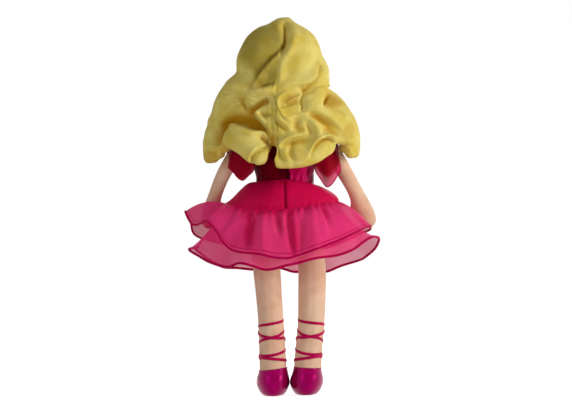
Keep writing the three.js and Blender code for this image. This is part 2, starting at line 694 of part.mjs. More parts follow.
// The bodice follows the torso at some distance. The side seams and the back slit divide it.
function addBodice() {
  const top = foldHeight + bodiceTopRise;
  const cover = (ease) => solidOf(stuffed(stretch(inset(torsoRings, -ease), waistHeight, top), bodiceSides));
  const inside = inset(torsoRings, -bodiceEase);
  const opened = [
    { ...ringAt(inside, waistHeight), z: waistHeight - 5 },
    ...stretch(inside, waistHeight, top),
    { ...ringAt(inside, top), z: top + 5 },
  ];
  const shell = cover(bodiceEase + satinCloth)
    .subtract(solidOf(stuffed(opened, bodiceSides)))
    .subtract(shoulderSockets(1));
  const half = seamGap / 2;
  const ahead = block([-far, -far, -far], [far, -half, far]);
  const backLeft = block([half, half, -far], [far, far, far]);
  const backRight = block([-far, half, -far], [-half, far, far]);
  addPiece(doll, "bodice_front", shell.intersect(ahead), satinMaterial);
  addPiece(doll, "bodice_back_left", shell.intersect(backLeft), satinMaterial);
  addPiece(doll, "bodice_back_right", shell.intersect(backRight), satinMaterial);
  const between = cover(seamGap + tapeThickness).subtract(cover(seamGap));
  const strip = block([-tapeHalfWidth, 0, waistHeight + 4], [tapeHalfWidth, far, top - 3]);
  addPiece(doll, "back_closure_tape", between.intersect(strip), tapeMaterial);
}

// How far towards the side an angle lies: 1 at the sides, 0 at front and back.
const sideways = (angle) => Math.cos(angle) ** 2;

const yokeTopWidth = waistHalfWidth + bodiceEase + satinCloth;
const yokeTopDepth = waistHalfDepth + bodiceEase + satinCloth;

function yokePoint(angle, down, depth) {
  const out = Math.sin((down * Math.PI) / 2);
  const fallen = 1 - Math.cos((down * Math.PI) / 2);
  const drop = THREE.MathUtils.lerp(yokeDropBack, yokeDropSide, sideways(angle));
  return new THREE.Vector3(
    (THREE.MathUtils.lerp(yokeTopWidth, yokeHalfWidth, out) - depth) * Math.cos(angle),
    (THREE.MathUtils.lerp(yokeTopDepth, yokeHalfDepth, out) - depth) * Math.sin(angle),
    waistHeight - seamGap - drop * fallen - depth * 0.6
  );
}

// Values at a turn from stations [turn, value, ...] round the doll. The curve passes through each smoothly.
function aroundAt(stations, turn) {
  const at = ((turn % 360) + 360) % 360;
  const count = stations.length;
  const next = stations.findIndex(([station]) => station > at);
  const first = next < 0 ? count - 1 : next - 1;
  const [a, b, c, d] = [-1, 0, 1, 2].map((step) => {
    const k = first + step;
    const [station, ...values] = stations[(k + count) % count];
    return { at: station + 360 * Math.floor(k / count), values };
  });
  const span = c.at - b.at;
  const t = (at - b.at) / span;
  return b.values.map((from, k) => {
    const to = c.values[k];
    const leaving = ((to - a.values[k]) / (c.at - a.at)) * span;
    const arriving = ((d.values[k] - from) / (d.at - b.at)) * span;
    const bend = (t ** 3 - 2 * t ** 2 + t) * leaving + (t ** 3 - t ** 2) * arriving;
    return from + (3 * t ** 2 - 2 * t ** 3) * (to - from) + bend;
  });
}

// Hems: degrees round from the back towards the doll's left, then x, y and drop as shares of the hem's half
// width, half depth and drop behind, and how far the ruffle's middle sags, in mm
const upperHem = [
  [0, 0, 1, 1, 0],
  [24, 0.28, 0.98, 0.91, 0],
  [37, 0.446, 0.91, 0.84, 0],
  [48, 0.6, 0.79, 0.74, 0],
  [56, 0.717, 0.65, 0.47, 0],
  [64, 0.85, 0.47, 0.18, -1],
  [73, 1, 0.21, 0.2, -5],
  [82, 1.055, 0.05, -0.04, -8],
  [91, 1.03, -0.14, 0.22, -5],
  [98, 1, -0.32, 0.48, -3],
  [110, 0.9, -0.56, 0.72, 0],
  [125, 0.73, -0.74, 0.86, 0],
  [142, 0.49, -0.88, 0.95, 0],
  [180, 0, -1, 1.02, 0],
  [218, -0.47, -0.88, 0.93, 0],
  [236, -0.69, -0.7, 0.64, 0],
  [252, -0.83, -0.47, 0.47, 0],
  [266, -0.9, -0.21, 0.42, 0],
  [276, -0.92, 0, 0.39, 0],
  [288, -0.87, 0.28, 0.41, 0],
  [298, -0.727, 0.54, 0.52, 0],
  [322, -0.43, 0.88, 0.76, 0],
];
const lowerHem = [
  [0, 0, 0.98, 1, 0],
  [16, 0.25, 1, 1.04, 0],
  [34, 0.48, 0.89, 0.92, 0],
  [44, 0.62, 0.78, 0.98, 0],
  [56, 0.76, 0.61, 0.93, 2],
  [68, 0.9, 0.37, 0.81, 5],
  [80, 1.02, 0.09, 0.65, 5],
  [90, 0.975, -0.19, 0.565, 2],
  [102, 0.94, -0.41, 0.7, 0],
  [120, 0.75, -0.7, 0.97, 0],
  [140, 0.48, -0.91, 1.09, 0],
  [160, 0.22, -1, 1.1, 0],
  [192, -0.13, -1.02, 1.18, 0],
  [212, -0.42, -0.94, 1.19, 0],
  [235, -0.72, -0.72, 1.02, 5],
  [254, -1.02, -0.36, 0.72, 11],
  [266, -1.035, -0.1, 0.51, 12],
  [278, -0.9, 0.22, 0.53, 9],
  [290, -0.845, 0.39, 0.574, 4],
  [304, -0.7, 0.61, 0.73, 0],
  [337, -0.276, 0.93, 0.89, 0],
];

// The ruffles' main folds in the back view: points are x and height above the waist
const ruffleFolds = [
  { lift: 2.6, width: 5, line: [[43, -33], [52, -42], [62, -54]] },
  { lift: -3.8, width: 4.5, line: [[34, -24], [37, -48], [42, -64]] },
  { lift: 2.6, width: 5, line: [[22, -33], [23, -51], [21, -71]] },
  { lift: -2.8, width: 3.5, line: [[9, -29], [7, -54]] },
  { lift: -3.2, width: 3.5, line: [[-2, -23], [-3, -49], [-7, -76]] },
  { lift: -2.4, width: 3.5, line: [[-15, -33], [-14, -72]] },
  { lift: 2.6, width: 6, line: [[-27, -35], [-29, -71]] },
  { lift: -2.6, width: 4, line: [[-37, -25], [-44, -45]] },
  { lift: 2, width: 8, line: [[-58, -36], [-63, -53]] },
];

const upperRuffle = {
  hem: upperHem,
  size: [upperHemHalfWidth, upperHemHalfDepth, upperHemDrop],
  bend: [0.6, 0.3], // how far out and down the middle of the cloth lies, before it sags
  inset: 0,
};
const lowerRuffle = {
  hem: lowerHem,
  size: [lowerHemHalfWidth, lowerHemHalfDepth, lowerHemDrop],
  bend: [0.45, 0.5],
  inset: lowerInset,
};

// A gathered ruffle below the yoke's seam. Its folds and waves grow from the seam to the hem.
function rufflePoint(layer, angle, down, depth) {
  const { hem, size, bend, inset: inward } = layer;
  const yokeDrop = THREE.MathUtils.lerp(yokeDropBack, yokeDropSide, sideways(angle));
  const seam = new THREE.Vector3(
    (yokeHalfWidth - inward) * Math.cos(angle),
    (yokeHalfDepth - inward) * Math.sin(angle),
    -yokeDrop - 0.6 * (satinCloth + inward) - 2 * seamGap
  );
  const [x, y, drop, sag] = aroundAt(hem, 90 - THREE.MathUtils.radToDeg(angle));
  const edge = new THREE.Vector3(x * size[0], y * size[1], -yokeDropBack - drop * size[2]);
  const middle = new THREE.Vector3(
    THREE.MathUtils.lerp(seam.x, edge.x, bend[0]),
    THREE.MathUtils.lerp(seam.y, edge.y, bend[0]),
    THREE.MathUtils.lerp(seam.z, edge.z, bend[1]) - sag
  );
  const point = new THREE.QuadraticBezierCurve3(seam, middle, edge).getPoint(down);
  const ahead = THREE.MathUtils.smoothstep(-point.y, -8, 8);
  const waves = ruffleWaveDepth * Math.sin(ruffleWaves * angle) * THREE.MathUtils.smoothstep(down, 0.15, 0.9);
  const folds = foldOut(ruffleFolds, point.x, point.z) * THREE.MathUtils.smoothstep(down, 0, 0.3);
  const out = THREE.MathUtils.lerp(folds, waves, ahead);
  point.x += (out - 0.7 * depth) * Math.cos(angle);
  point.y += (out - 0.7 * depth) * Math.sin(angle);
  point.z += waistHeight + 0.35 * out - 0.9 * depth;
  return point;
}

// The overlocked thread along a ruffle's hem: a thin ring just below the cloth's edge.
function hemThread(layer, columns) {
  const corner = (angle, turn) => {
    const edge = rufflePoint(layer, angle, 1, organzaCloth / 2);
    const out = hemThreadRadius * Math.cos(turn);
    edge.x += out * Math.cos(angle);
    edge.y += out * Math.sin(angle);
    edge.z += hemThreadRadius * (Math.sin(turn) - 1) - seamGap;
    return edge;
  };
  const [outerTurns, innerTurns] = [[45, 135], [315, 225]];
  const point = (angle, share, inner) => {
    const turn = (inner > 0 ? innerTurns : outerTurns)[share > 0 ? 1 : 0];
    return corner(angle, THREE.MathUtils.degToRad(turn));
  };
  return sheetRound(point, columns, 1, 1);
}

function addSkirt() {
  const columns = 60;
  addPiece(doll, "skirt_yoke", sheetRound(yokePoint, 40, 4, satinCloth), satinMaterial);
  for (const [name, layer] of [["upper_ruffle", upperRuffle], ["lower_ruffle", lowerRuffle]]) {
    const point = (angle, down, depth) => rufflePoint(layer, angle, down, depth);
    addPiece(doll, name, sheetRound(point, columns, 3, organzaCloth), organzaMaterial);
  }
  addPiece(doll, "upper_hem_thread", hemThread(upperRuffle, columns), threadMaterial);
  addPiece(doll, "lower_hem_thread", hemThread(lowerRuffle, columns), threadMaterial);
  const seam = sheetRound(
    (angle, share, depth) =>
      new THREE.Vector3(
        (yokeTopWidth + pipingGap + waistSeamThickness - depth) * Math.cos(angle),
        (yokeTopDepth + pipingGap + waistSeamThickness - depth) * Math.sin(angle),
        waistHeight + seamGap + waistSeamHeight * (1 - share)
      ),
    bodiceSides,
    1,
    waistSeamThickness
  );
  addPiece(doll, "waist_piping", seam, threadMaterial);
}

// A flounce over the shoulder, open below, with a point at the front and one at the back.
function addSleeve(side, word) {
  const point = (angle, down, depth) => {
    const tip = sleevePoint * Math.max(0, -Math.cos(2 * angle)) ** 2;
    const drop = sleeveDrop * (1 - 0.45 * Math.max(0, Math.cos(angle))) + tip;
    const out = Math.sin((down * Math.PI) / 2);
    const w = THREE.MathUtils.lerp(sleeveTopRadius, sleeveHalfWidth, out) - depth;
    const d = THREE.MathUtils.lerp(sleeveTopRadius, sleeveHalfDepth, out) - depth;
    const x = shoulderSpacing + 2 + 5 * down + w * Math.cos(angle);
    return new THREE.Vector3(side * x, -5 * down + d * Math.sin(angle), shoulderHeight + 4 - drop * down);
  };
  const dressed = inset(torsoRings, -(bodiceEase + satinCloth + 2 * seamGap));
  const flounce = sheetRound(point, 22, 4, organzaCloth).subtract(solidOf(stuffed(dressed, bodiceSides)));
  const largest = flounce.decompose().sort((a, b) => b.volume() - a.volume())[0];
  addPiece(doll, `sleeve_${word}`, largest, organzaMaterial);
}

for (const [side, word] of [[1, "left"], [-1, "right"]]) {
  addLeg(side, word);
  addArm(side, word);
  addSleeve(side, word);
}
addSeat();
addTorso();
addNeck();
addHead();
addCrown();
addFalls();
addCurl("hair_curl_outer_left", 1, 0.64, 13);
addCurl("hair_curl_inner_left", 1, 0.27, 17);
addCurl("hair_curl_inner_right", -1, -0.19, 24);
addCurl("hair_curl_outer_right", -1, -0.66, 10);
addBodice();
addSkirt();

export default doll;
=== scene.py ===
import math

import bmesh
import bpy
import numpy as np
from mathutils import Matrix, Vector
from mathutils.bvhtree import BVHTree


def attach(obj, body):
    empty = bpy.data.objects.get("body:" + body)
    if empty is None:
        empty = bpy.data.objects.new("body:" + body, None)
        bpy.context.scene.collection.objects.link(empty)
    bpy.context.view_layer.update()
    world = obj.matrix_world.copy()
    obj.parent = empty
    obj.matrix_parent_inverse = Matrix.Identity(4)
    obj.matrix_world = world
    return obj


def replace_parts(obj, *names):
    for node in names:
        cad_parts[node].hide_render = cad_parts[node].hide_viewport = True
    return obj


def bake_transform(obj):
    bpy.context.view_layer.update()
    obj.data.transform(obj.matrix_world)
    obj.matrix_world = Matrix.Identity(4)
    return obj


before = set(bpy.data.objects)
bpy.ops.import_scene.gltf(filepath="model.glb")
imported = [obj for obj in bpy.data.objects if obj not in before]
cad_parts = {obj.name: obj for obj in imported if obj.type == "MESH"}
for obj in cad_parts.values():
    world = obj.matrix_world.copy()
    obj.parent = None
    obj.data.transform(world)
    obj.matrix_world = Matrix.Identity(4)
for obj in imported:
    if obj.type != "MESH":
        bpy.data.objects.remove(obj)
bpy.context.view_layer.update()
print("doll: frame loaded,", len(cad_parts), "nodes")

mm = 0.001
cameraAway = 1800.0      # mm from the lens to the plane on which the outlines were noted
photoPlane = 20.0        # y of that plane, mm; it cuts through the doll
cameraSide = -0.7        # x of the lens, mm
cameraHeight = 191.97    # z of the lens, mm
bothSides = ((1, "left"), (-1, "right"))     # the doll's own, with the sign of x


# shared helpers

def easeAt(y):
    # Real size over the size seen on the photo plane, for a part at this y: nearer parts look larger.
    return (cameraAway + photoPlane - y) / cameraAway


def atDepth(points):
    # Outlines are noted as they look on the photo plane, with the y where they lie.
    spots = np.array(points, float)
    ease = easeAt(spots[:, 1])
    spots[:, 0] = cameraSide + (spots[:, 0] - cameraSide) * ease
    spots[:, 2] = cameraHeight + (spots[:, 2] - cameraHeight) * ease
    return spots


def smoothStep(low, high, values):
    t = np.clip((values - low) / (high - low), 0, 1)
    return t * t * (3 - 2 * t)


def smoothLine(points, count, closed=False):
    # A rounded line through the points, with even spacing.
    spots = np.array(points, float)
    if closed:
        guide = np.vstack([spots[-1:], spots, spots[:2]])
    else:
        guide = np.vstack([2 * spots[:1] - spots[1:2], spots, 2 * spots[-1:] - spots[-2:-1]])
    t = np.linspace(0, 1, 16, endpoint=False)[:, None]
    parts = []
    for i in range(len(guide) - 3):
        a, b, c, d = guide[i:i + 4]
        parts.append(0.5 * (2 * b + (c - a) * t + (2 * a - 5 * b + 4 * c - d) * t ** 2
                            + (3 * b - a - 3 * c + d) * t ** 3))
    parts.append(guide[-2:-1])
    line = np.vstack(parts)
    steps = np.concatenate([[0], np.cumsum(np.linalg.norm(np.diff(line, axis=0), axis=1))])
    even = np.linspace(0, steps[-1], count)
    return np.stack([np.interp(even, steps, line[:, k]) for k in range(line.shape[1])], axis=1)


def outwardAt(angle):
    # Level directions for angles from the back centre towards the doll's left.
    return np.stack([np.sin(angle), np.cos(angle), np.zeros(len(angle))], axis=-1)


def bentCloth(top, knee, low, down):
    # Cloth that hangs from top to low and bends towards the knee between them.
    share = down[:, None]
    return top * (1 - share) ** 2 + knee * 2 * share * (1 - share) + low * share ** 2


def spotShare(x, z, spots, inner):
    # How far a place lies in one of the soft-edged oval spots: x, z, half width, half height, share.
    most = np.zeros_like(x)
    for spotX, spotZ, halfWidth, halfHeight, share in spots:
        away = ((x - spotX) / halfWidth) ** 2 + ((z - spotZ) / halfHeight) ** 2
        most = np.maximum(most, share * (1 - smoothStep(inner, 1.3, away)))
    return most


def roundCurve(stations, at):
    # Stations are (degrees, value, value, ...) round a closed curve, which passes through each smoothly.
    period = 360.0
    table = np.array(sorted(stations), float)
    turns = np.concatenate([table[-2:, 0] - period, table[:, 0], table[:2, 0] + period])
    values = np.vstack([table[-2:, 1:], table[:, 1:], table[:2, 1:]])
    slopes = (values[2:] - values[:-2]) / (turns[2:] - turns[:-2])[:, None]
    turns, values = turns[1:-1], values[1:-1]
    wrapped = np.mod(at - turns[0], period) + turns[0]
    i = np.clip(np.searchsorted(turns, wrapped, side="right") - 1, 0, len(turns) - 2)
    span = (turns[i + 1] - turns[i])[:, None]
    t = ((wrapped - turns[i]) / span[:, 0])[:, None]
    return ((2 * t ** 3 - 3 * t ** 2 + 1) * values[i] + (t ** 3 - 2 * t ** 2 + t) * span * slopes[i]
            + (3 * t ** 2 - 2 * t ** 3) * values[i + 1] + (t ** 3 - t ** 2) * span * slopes[i + 1])


def profileAt(rows, at):
    # Values at a height from rows of (height, value, value, ...), rounded between the rows.
    table = np.array(sorted(rows), float)
    dense = smoothLine(table, 400)
    order = np.argsort(dense[:, 0])
    return np.stack([np.interp(at, dense[order, 0], dense[order, k])
                     for k in range(1, table.shape[1])], axis=-1)


def placeMesh(mesh, shaped, cut, shades=None):
    # Each vertex goes to its place; its spot on the flat cloth is the UV map, its shades are attributes.
    weave = mesh.loops.layers.uv.new("cut")
    layers = {word: mesh.verts.layers.float.new(word) for word in shades or {}}
    for index, vert in enumerate(mesh.verts):
        vert.index = index
        vert.co = shaped[index]
        for word, layer in layers.items():
            vert[layer] = float(shades[word][index])
    for face in mesh.faces:
        for loop in face.loops:
            loop[weave].uv = cut[loop.vert.index]


def finishPiece(mesh, name, material):
    bmesh.ops.remove_doubles(mesh, verts=mesh.verts, dist=2e-6)     # closes poles and seams
    bmesh.ops.recalc_face_normals(mesh, faces=mesh.faces)
    data = bpy.data.meshes.new(name)
    mesh.to_mesh(data)
    mesh.free()
    data.shade_smooth()
    piece = bpy.data.objects.new(name, data)
    bpy.context.scene.collection.objects.link(piece)
    piece.data.materials.append(material)
    return piece


def clothGrid(name, columns, rows, place, material, cut, values=None):
    # A grid of cloth laid by place(across, down) in mm; cut is its flat size in metres, and values
    # gives the attributes that the material reads.
    mesh = bmesh.new()
    bmesh.ops.create_grid(mesh, x_segments=columns, y_segments=rows, size=0.5)
    flat = np.array([v.co[:2] for v in mesh.verts]) + 0.5
    shaped = place(flat[:, 0], flat[:, 1]) * mm
    placeMesh(mesh, shaped, flat * np.array(cut), values(flat[:, 1]) if values else None)
    return finishPiece(mesh, name, material)


def closedForm(name, around, along, place, material):
    # A closed stuffed form from a sphere: place(turn in radians, share along) gives mm.
    mesh = bmesh.new()
    bmesh.ops.create_uvsphere(mesh, u_segments=around, v_segments=along, radius=1)
    unit = np.array([v.co[:] for v in mesh.verts])
    turn = np.arctan2(unit[:, 1], unit[:, 0])
    share = np.arccos(np.clip(unit[:, 2], -1, 1)) / math.pi
    clothSide = 0.1     # metres of cloth round and along the form, for its UV map
    flat = np.stack([(turn / (2 * math.pi) + 0.5) * clothSide, share * clothSide], axis=1)
    placeMesh(mesh, place(turn, share) * mm, flat)
    return finishPiece(mesh, name, material)


def tubeAlong(name, line, radius, material, sides, closed=False, flat=1.0, facing=None):
    # A thread or band along a line: radius in mm, flat squeezes it across, facing gives its outward side.
    count = len(line)
    ahead = np.gradient(line, axis=0)
    if closed:
        ahead[0] = ahead[-1] = line[1] - line[-2]
    ahead /= np.linalg.norm(ahead, axis=1)[:, None]
    outward = np.array(facing if facing is not None else np.tile([0.0, 0.0, 1.0], (count, 1)), float)
    outward -= (outward * ahead).sum(axis=1)[:, None] * ahead
    outward /= np.linalg.norm(outward, axis=1)[:, None]
    beside = np.cross(ahead, outward)
    length = np.linalg.norm(np.diff(line, axis=0), axis=1).sum()

    def place(u, v):
        i = np.rint(u * (count - 1)).astype(int)
        turn = v * 2 * math.pi
        size = radius if closed else radius * np.sqrt(np.clip(1 - (2 * u - 1) ** 40, 0, 1))
        return (line[i] + outward[i] * (size * flat * np.cos(turn))[:, None]
                + beside[i] * (size * np.sin(turn))[:, None])

    return clothGrid(name, count - 1, sides, place, material, cut=(length * mm, 2 * math.pi * radius * mm))


def thicken(piece, thickness):
    # A wall grown inwards from the sheet, in mm, kept as plain mesh.
    wall = piece.modifiers.new("wall", "SOLIDIFY")
    wall.thickness = thickness * mm
    wall.offset = -1
    bpy.context.view_layer.update()
    shaped = piece.evaluated_get(bpy.context.evaluated_depsgraph_get())
    data = bpy.data.meshes.new_from_object(shaped)
    piece.modifiers.clear()
    piece.data = data


def foldLift(x, z, folds):
    # Height of the cloth over its plain form from drawn folds: (lift, half width, line of (x, z)), and
    # where one layer overlaps another (x, z of the raised side in mm, how far the step is felt).
    lift = np.zeros_like(x)
    for height, width, line, *overlap in folds:
        step = overlap[0] if overlap else None
        path = smoothLine(line, 9 * len(line)) if len(line) > 2 else np.linspace(line[0], line[1], 12)
        best = np.full(x.shape, 1e9)
        share = np.zeros_like(x)
        raised = np.zeros_like(x)
        total = len(path) - 1
        for i in range(total):
            (ax, az), (bx, bz) = path[i], path[i + 1]
            dx, dz = bx - ax, bz - az
            t = np.clip(((x - ax) * dx + (z - az) * dz) / (dx * dx + dz * dz + 1e-9), 0, 1)
            away = np.hypot(x - ax - t * dx, z - az - t * dz)
            closer = away < best
            best = np.where(closer, away, best)
            share = np.where(closer, (i + t) / total, share)
            if step:
                over = (x - ax - t * dx) * step[0] + (z - az - t * dz) * step[1]
                raised = np.where(closer, np.sign(over), raised)
        swell = np.clip(np.sin(math.pi * share), 0, 1)
        fade = 0.35 + 0.65 * swell ** 0.5 if width < 6 else 1.0
        lift += height * fade * np.exp(-(best / width) ** 2)
        if step:
            size = math.hypot(step[0], step[1])
            lift += raised * size * swell ** 0.6 * np.tanh(best / 0.7) * np.exp(-(best / step[2]) ** 2)
    return lift


# materials

def linear(code):
    # sRGB hex to an opaque linear colour
    parts = [int(code[i:i + 2], 16) / 255 for i in (1, 3, 5)]
    return tuple([p / 12.92 if p <= 0.04045 else ((p + 0.055) / 1.055) ** 2.4 for p in parts] + [1.0])


def addNode(tree, kind, settings=None, links=None):
    # Settings are keyed by input or by property, links by input.
    node = tree.nodes.new("ShaderNode" + kind)
    for key, value in (settings or {}).items():
        if isinstance(key, int) or key in node.inputs:
            node.inputs[key].default_value = value
        else:
            setattr(node, key, value)
    for key, source in (links or {}).items():
        tree.links.new(source, node.inputs[key])
    return node


def newMaterial(name):
    material = bpy.data.materials.new(name)
    material.use_nodes = True
    tree = material.node_tree
    tree.nodes.clear()
    return material, tree


def velourMaterial(name, pale, middle, deep, sheen, nap=1.0):
    # Knitted polyester velour: short upright pile, so a soft bloom at the rims, and faint lighter
    # and darker strokes where the pile was brushed. Painted shade: the tone attribute mixes the deep
    # colour into folds and hollows, and the nap attribute darkens and dulls the regions it marks.
    material, tree = newMaterial(name)
    place = addNode(tree, "TexCoord").outputs["Object"]
    strokes = addNode(tree, "TexNoise", {"Scale": 55.0, "Detail": 2.0, "Roughness": 0.55}, {"Vector": place})
    brushed = addNode(tree, "TexNoise", {"Scale": 260.0, "Detail": 2.0, "Roughness": 0.6}, {"Vector": place})
    # pile tufts are about 0.3 mm; drawn near 0.8 mm, as the render shows no finer
    tufts = addNode(tree, "TexNoise", {"Scale": 1250.0, "Detail": 1.0}, {"Vector": place})
    # painted shade in folds and hollows, from the tone attribute
    paintedShade = addNode(tree, "Attribute", {"attribute_name": "tone"}).outputs["Fac"]
    strokeTone = addNode(tree, "MapRange", {1: 0.35, 2: 0.68}, {0: strokes.outputs["Fac"]})
    surface = addNode(tree, "Mix", {"data_type": "RGBA", 6: linear(pale), 7: linear(middle)},
                      {0: strokeTone.outputs[0]})
    inPaintedShade = addNode(tree, "Mix", {"data_type": "RGBA", 7: linear(deep)},
                     {0: paintedShade, 6: surface.outputs[2]})
    # painted shade on the regions that the nap attribute marks
    napPaintedShade = addNode(tree, "Attribute", {"attribute_name": "nap"}).outputs["Fac"]
    napShaded = addNode(tree, "Mix", {"data_type": "RGBA", "blend_type": "MULTIPLY", 7: linear("#CCC6A4")},
                     {0: napPaintedShade, 6: inPaintedShade.outputs[2]})
    grain = addNode(tree, "Math", {"operation": "MULTIPLY_ADD", 1: 0.10 * nap, 2: 0.95},
                    {0: brushed.outputs["Fac"]})
    dusted = addNode(tree, "Mix", {"data_type": "RGBA", "blend_type": "MULTIPLY", 0: 1.0},
                     {6: napShaded.outputs[2], 7: grain.outputs[0]})
    pile = addNode(tree, "Bump", {"Strength": 0.16 * nap, "Distance": 0.0005},
                   {"Height": tufts.outputs["Fac"]})
    soft = addNode(tree, "Bump", {"Strength": 0.12 * nap, "Distance": 0.0012},
                   {"Height": brushed.outputs["Fac"], "Normal": pile.outputs["Normal"]})
    shader = addNode(tree, "BsdfPrincipled",
                     {"Roughness": 0.9, "Specular IOR Level": 0.1, "Sheen Weight": sheen,
                      "Sheen Roughness": 0.45, "Sheen Tint": linear(pale)},
                     {"Base Color": dusted.outputs[2], "Normal": soft.outputs["Normal"]})
    addNode(tree, "OutputMaterial", links={"Surface": shader.outputs["BSDF"]})
    return material


def satinMaterial(name, bright, dark, roughness, threads, strength, gloss):
    # Woven polyester satin: smooth long floats with a magenta gloss and a faint band of the weave,
    # and painted sheen and shade: a colour that swings between a bright and a dark tone over shallow creases.
    material, tree = newMaterial(name)
    cut = addNode(tree, "TexCoord").outputs["UV"]
    place = addNode(tree, "TexCoord").outputs["Object"]
    # threads lie about 0.15 mm apart; a scale of 1100 to 700 draws them 0.3 to 0.45 mm apart, to show
    floats = addNode(tree, "TexWave", {"wave_type": "BANDS", "bands_direction": "X", "Scale": threads,
                                       "Distortion": 1.5, "Detail": 1.0}, {"Vector": cut})
    creases = addNode(tree, "TexNoise", {"Scale": 90.0, "Detail": 2.0, "Roughness": 0.5}, {"Vector": place})
    # painted sheen and shade: the bright and dark tones follow the noise that bumps the creases
    tone = addNode(tree, "MapRange", {1: 0.3, 2: 0.7}, {0: creases.outputs["Fac"]})
    colour = addNode(tree, "Mix", {"data_type": "RGBA", 6: linear(bright), 7: linear(dark)},
                     {0: tone.outputs[0]})
    weave = addNode(tree, "Bump", {"Strength": strength, "Distance": 0.0002},
                    {"Height": floats.outputs["Fac"]})
    slack = addNode(tree, "Bump", {"Strength": 0.15, "Distance": 0.0012},
                    {"Height": creases.outputs["Fac"], "Normal": weave.outputs["Normal"]})
    shader = addNode(tree, "BsdfPrincipled",
                     {"Roughness": roughness, "Specular IOR Level": gloss, "IOR": 1.58,
                      "Specular Tint": linear("#FF1CA4")},
                     {"Base Color": colour.outputs[2], "Normal": slack.outputs["Normal"]})
    addNode(tree, "OutputMaterial", links={"Surface": shader.outputs["BSDF"]})
    return material


def organzaMaterial(name, bright, deep, alpha, stitchedAt=9.0, glow=0.1, sheen=0.1):
    # Crisp sheer polyester organza: a fine open plain weave that lets the layer behind show,
    # lighter and glinting where it turns to the light. The tone attribute paints it deeper: painted
    # shade in folds and gathers, where it also lies double. A faint glow, painted light, stands for
    # the light that sheer layers pass on to each other.
    material, tree = newMaterial(name)
    cut = addNode(tree, "TexCoord").outputs["UV"]
    place = addNode(tree, "TexCoord").outputs["Object"]
    # yarns about 0.25 mm apart; drawn at 0.7 mm so that the weave shows
    warp, weft = [addNode(tree, "TexWave", {"wave_type": "BANDS", "bands_direction": way, "Scale": 450.0},
                          {"Vector": cut}) for way in ("X", "Y")]
    weave = addNode(tree, "Math", {"operation": "ADD"}, {0: warp.outputs["Fac"], 1: weft.outputs["Fac"]})
    cloud = addNode(tree, "TexNoise", {"Scale": 42.0, "Detail": 2.0}, {"Vector": place})
    # painted shade, from the tone attribute
    paintedShade = addNode(tree, "Attribute", {"attribute_name": "tone"}).outputs["Fac"]
    mottle = addNode(tree, "MapRange", {1: 0.3, 2: 0.75, 3: 0.0, 4: 0.35}, {0: cloud.outputs["Fac"]})
    depth = addNode(tree, "Math", {"operation": "ADD", "use_clamp": True}, {0: paintedShade, 1: mottle.outputs[0]})
    tinted = addNode(tree, "Mix", {"data_type": "RGBA", 6: linear(bright), 7: linear(deep)},
                     {0: depth.outputs[0]})
    # one row of stitches, 0.9 mm wide, stitchedAt metres down the cloth; the default lies beyond it
    down = addNode(tree, "SeparateXYZ", links={0: cut}).outputs["Y"]
    stitched = addNode(tree, "Math", {"operation": "COMPARE", 1: stitchedAt, 2: 0.00045}, {0: down})
    colour = addNode(tree, "Mix", {"data_type": "RGBA", 7: linear("#B4004A")},
                     {0: stitched.outputs[0], 6: tinted.outputs[2]})
    bump = addNode(tree, "Bump", {"Strength": 0.12, "Distance": 0.0002}, {"Height": weave.outputs[0]})
    # cloth in the folds lies double and lets less through
    closed = addNode(tree, "MapRange", {3: alpha, 4: min(alpha + 0.16, 1.0)}, {0: paintedShade})
    shader = addNode(tree, "BsdfPrincipled",
                     {"Roughness": 0.55, "Specular IOR Level": 0.12, "Specular Tint": linear("#FF5C9C"),
                      "Sheen Weight": sheen, "Sheen Roughness": 0.4, "Sheen Tint": linear("#FF6CA4"),
                      "Emission Color": linear(bright), "Emission Strength": glow},
                     {"Base Color": colour.outputs[2], "Normal": bump.outputs["Normal"],
                      "Alpha": closed.outputs[0]})
    addNode(tree, "OutputMaterial", links={"Surface": shader.outputs["BSDF"]})
    return material


def threadMaterial(name, bright, dark, spacing=0.5):
    # Twisted polyester sewing thread laid side by side: slanted strands with a dull shine.
    material, tree = newMaterial(name)
    cut = addNode(tree, "TexCoord").outputs["UV"]
    slanted = addNode(tree, "Mapping", {"Rotation": (0, 0, 0.5)}, {"Vector": cut})
    # one strand each spacing mm: the bands of a wave lie 0.314 m over its scale apart
    strands = addNode(tree, "TexWave", {"wave_type": "BANDS", "bands_direction": "X",
                                        "Scale": 314.0 / spacing}, {"Vector": slanted.outputs["Vector"]})
    colour = addNode(tree, "Mix", {"data_type": "RGBA", 6: linear(dark), 7: linear(bright)},
                     {0: strands.outputs["Fac"]})
    bump = addNode(tree, "Bump", {"Strength": 0.5, "Distance": 0.0004}, {"Height": strands.outputs["Fac"]})
    shader = addNode(tree, "BsdfPrincipled",
                     {"Roughness": 0.6, "Specular IOR Level": 0.15, "Specular Tint": linear(bright)},
                     {"Base Color": colour.outputs[2], "Normal": bump.outputs["Normal"]})
    addNode(tree, "OutputMaterial", links={"Surface": shader.outputs["BSDF"]})
    return material


hairVelour = velourMaterial("golden velour hair", "#E4D57A", "#D9C054", "#BE8A10", 0.1)
skinVelour = velourMaterial("skin velour", "#ECC9AD", "#E2B597", "#C48461", 0.1, nap=0.8)
bodiceSatin = satinMaterial("magenta satin", "#B00042", "#800014", 0.3, 900.0, 0.1, gloss=0.5)
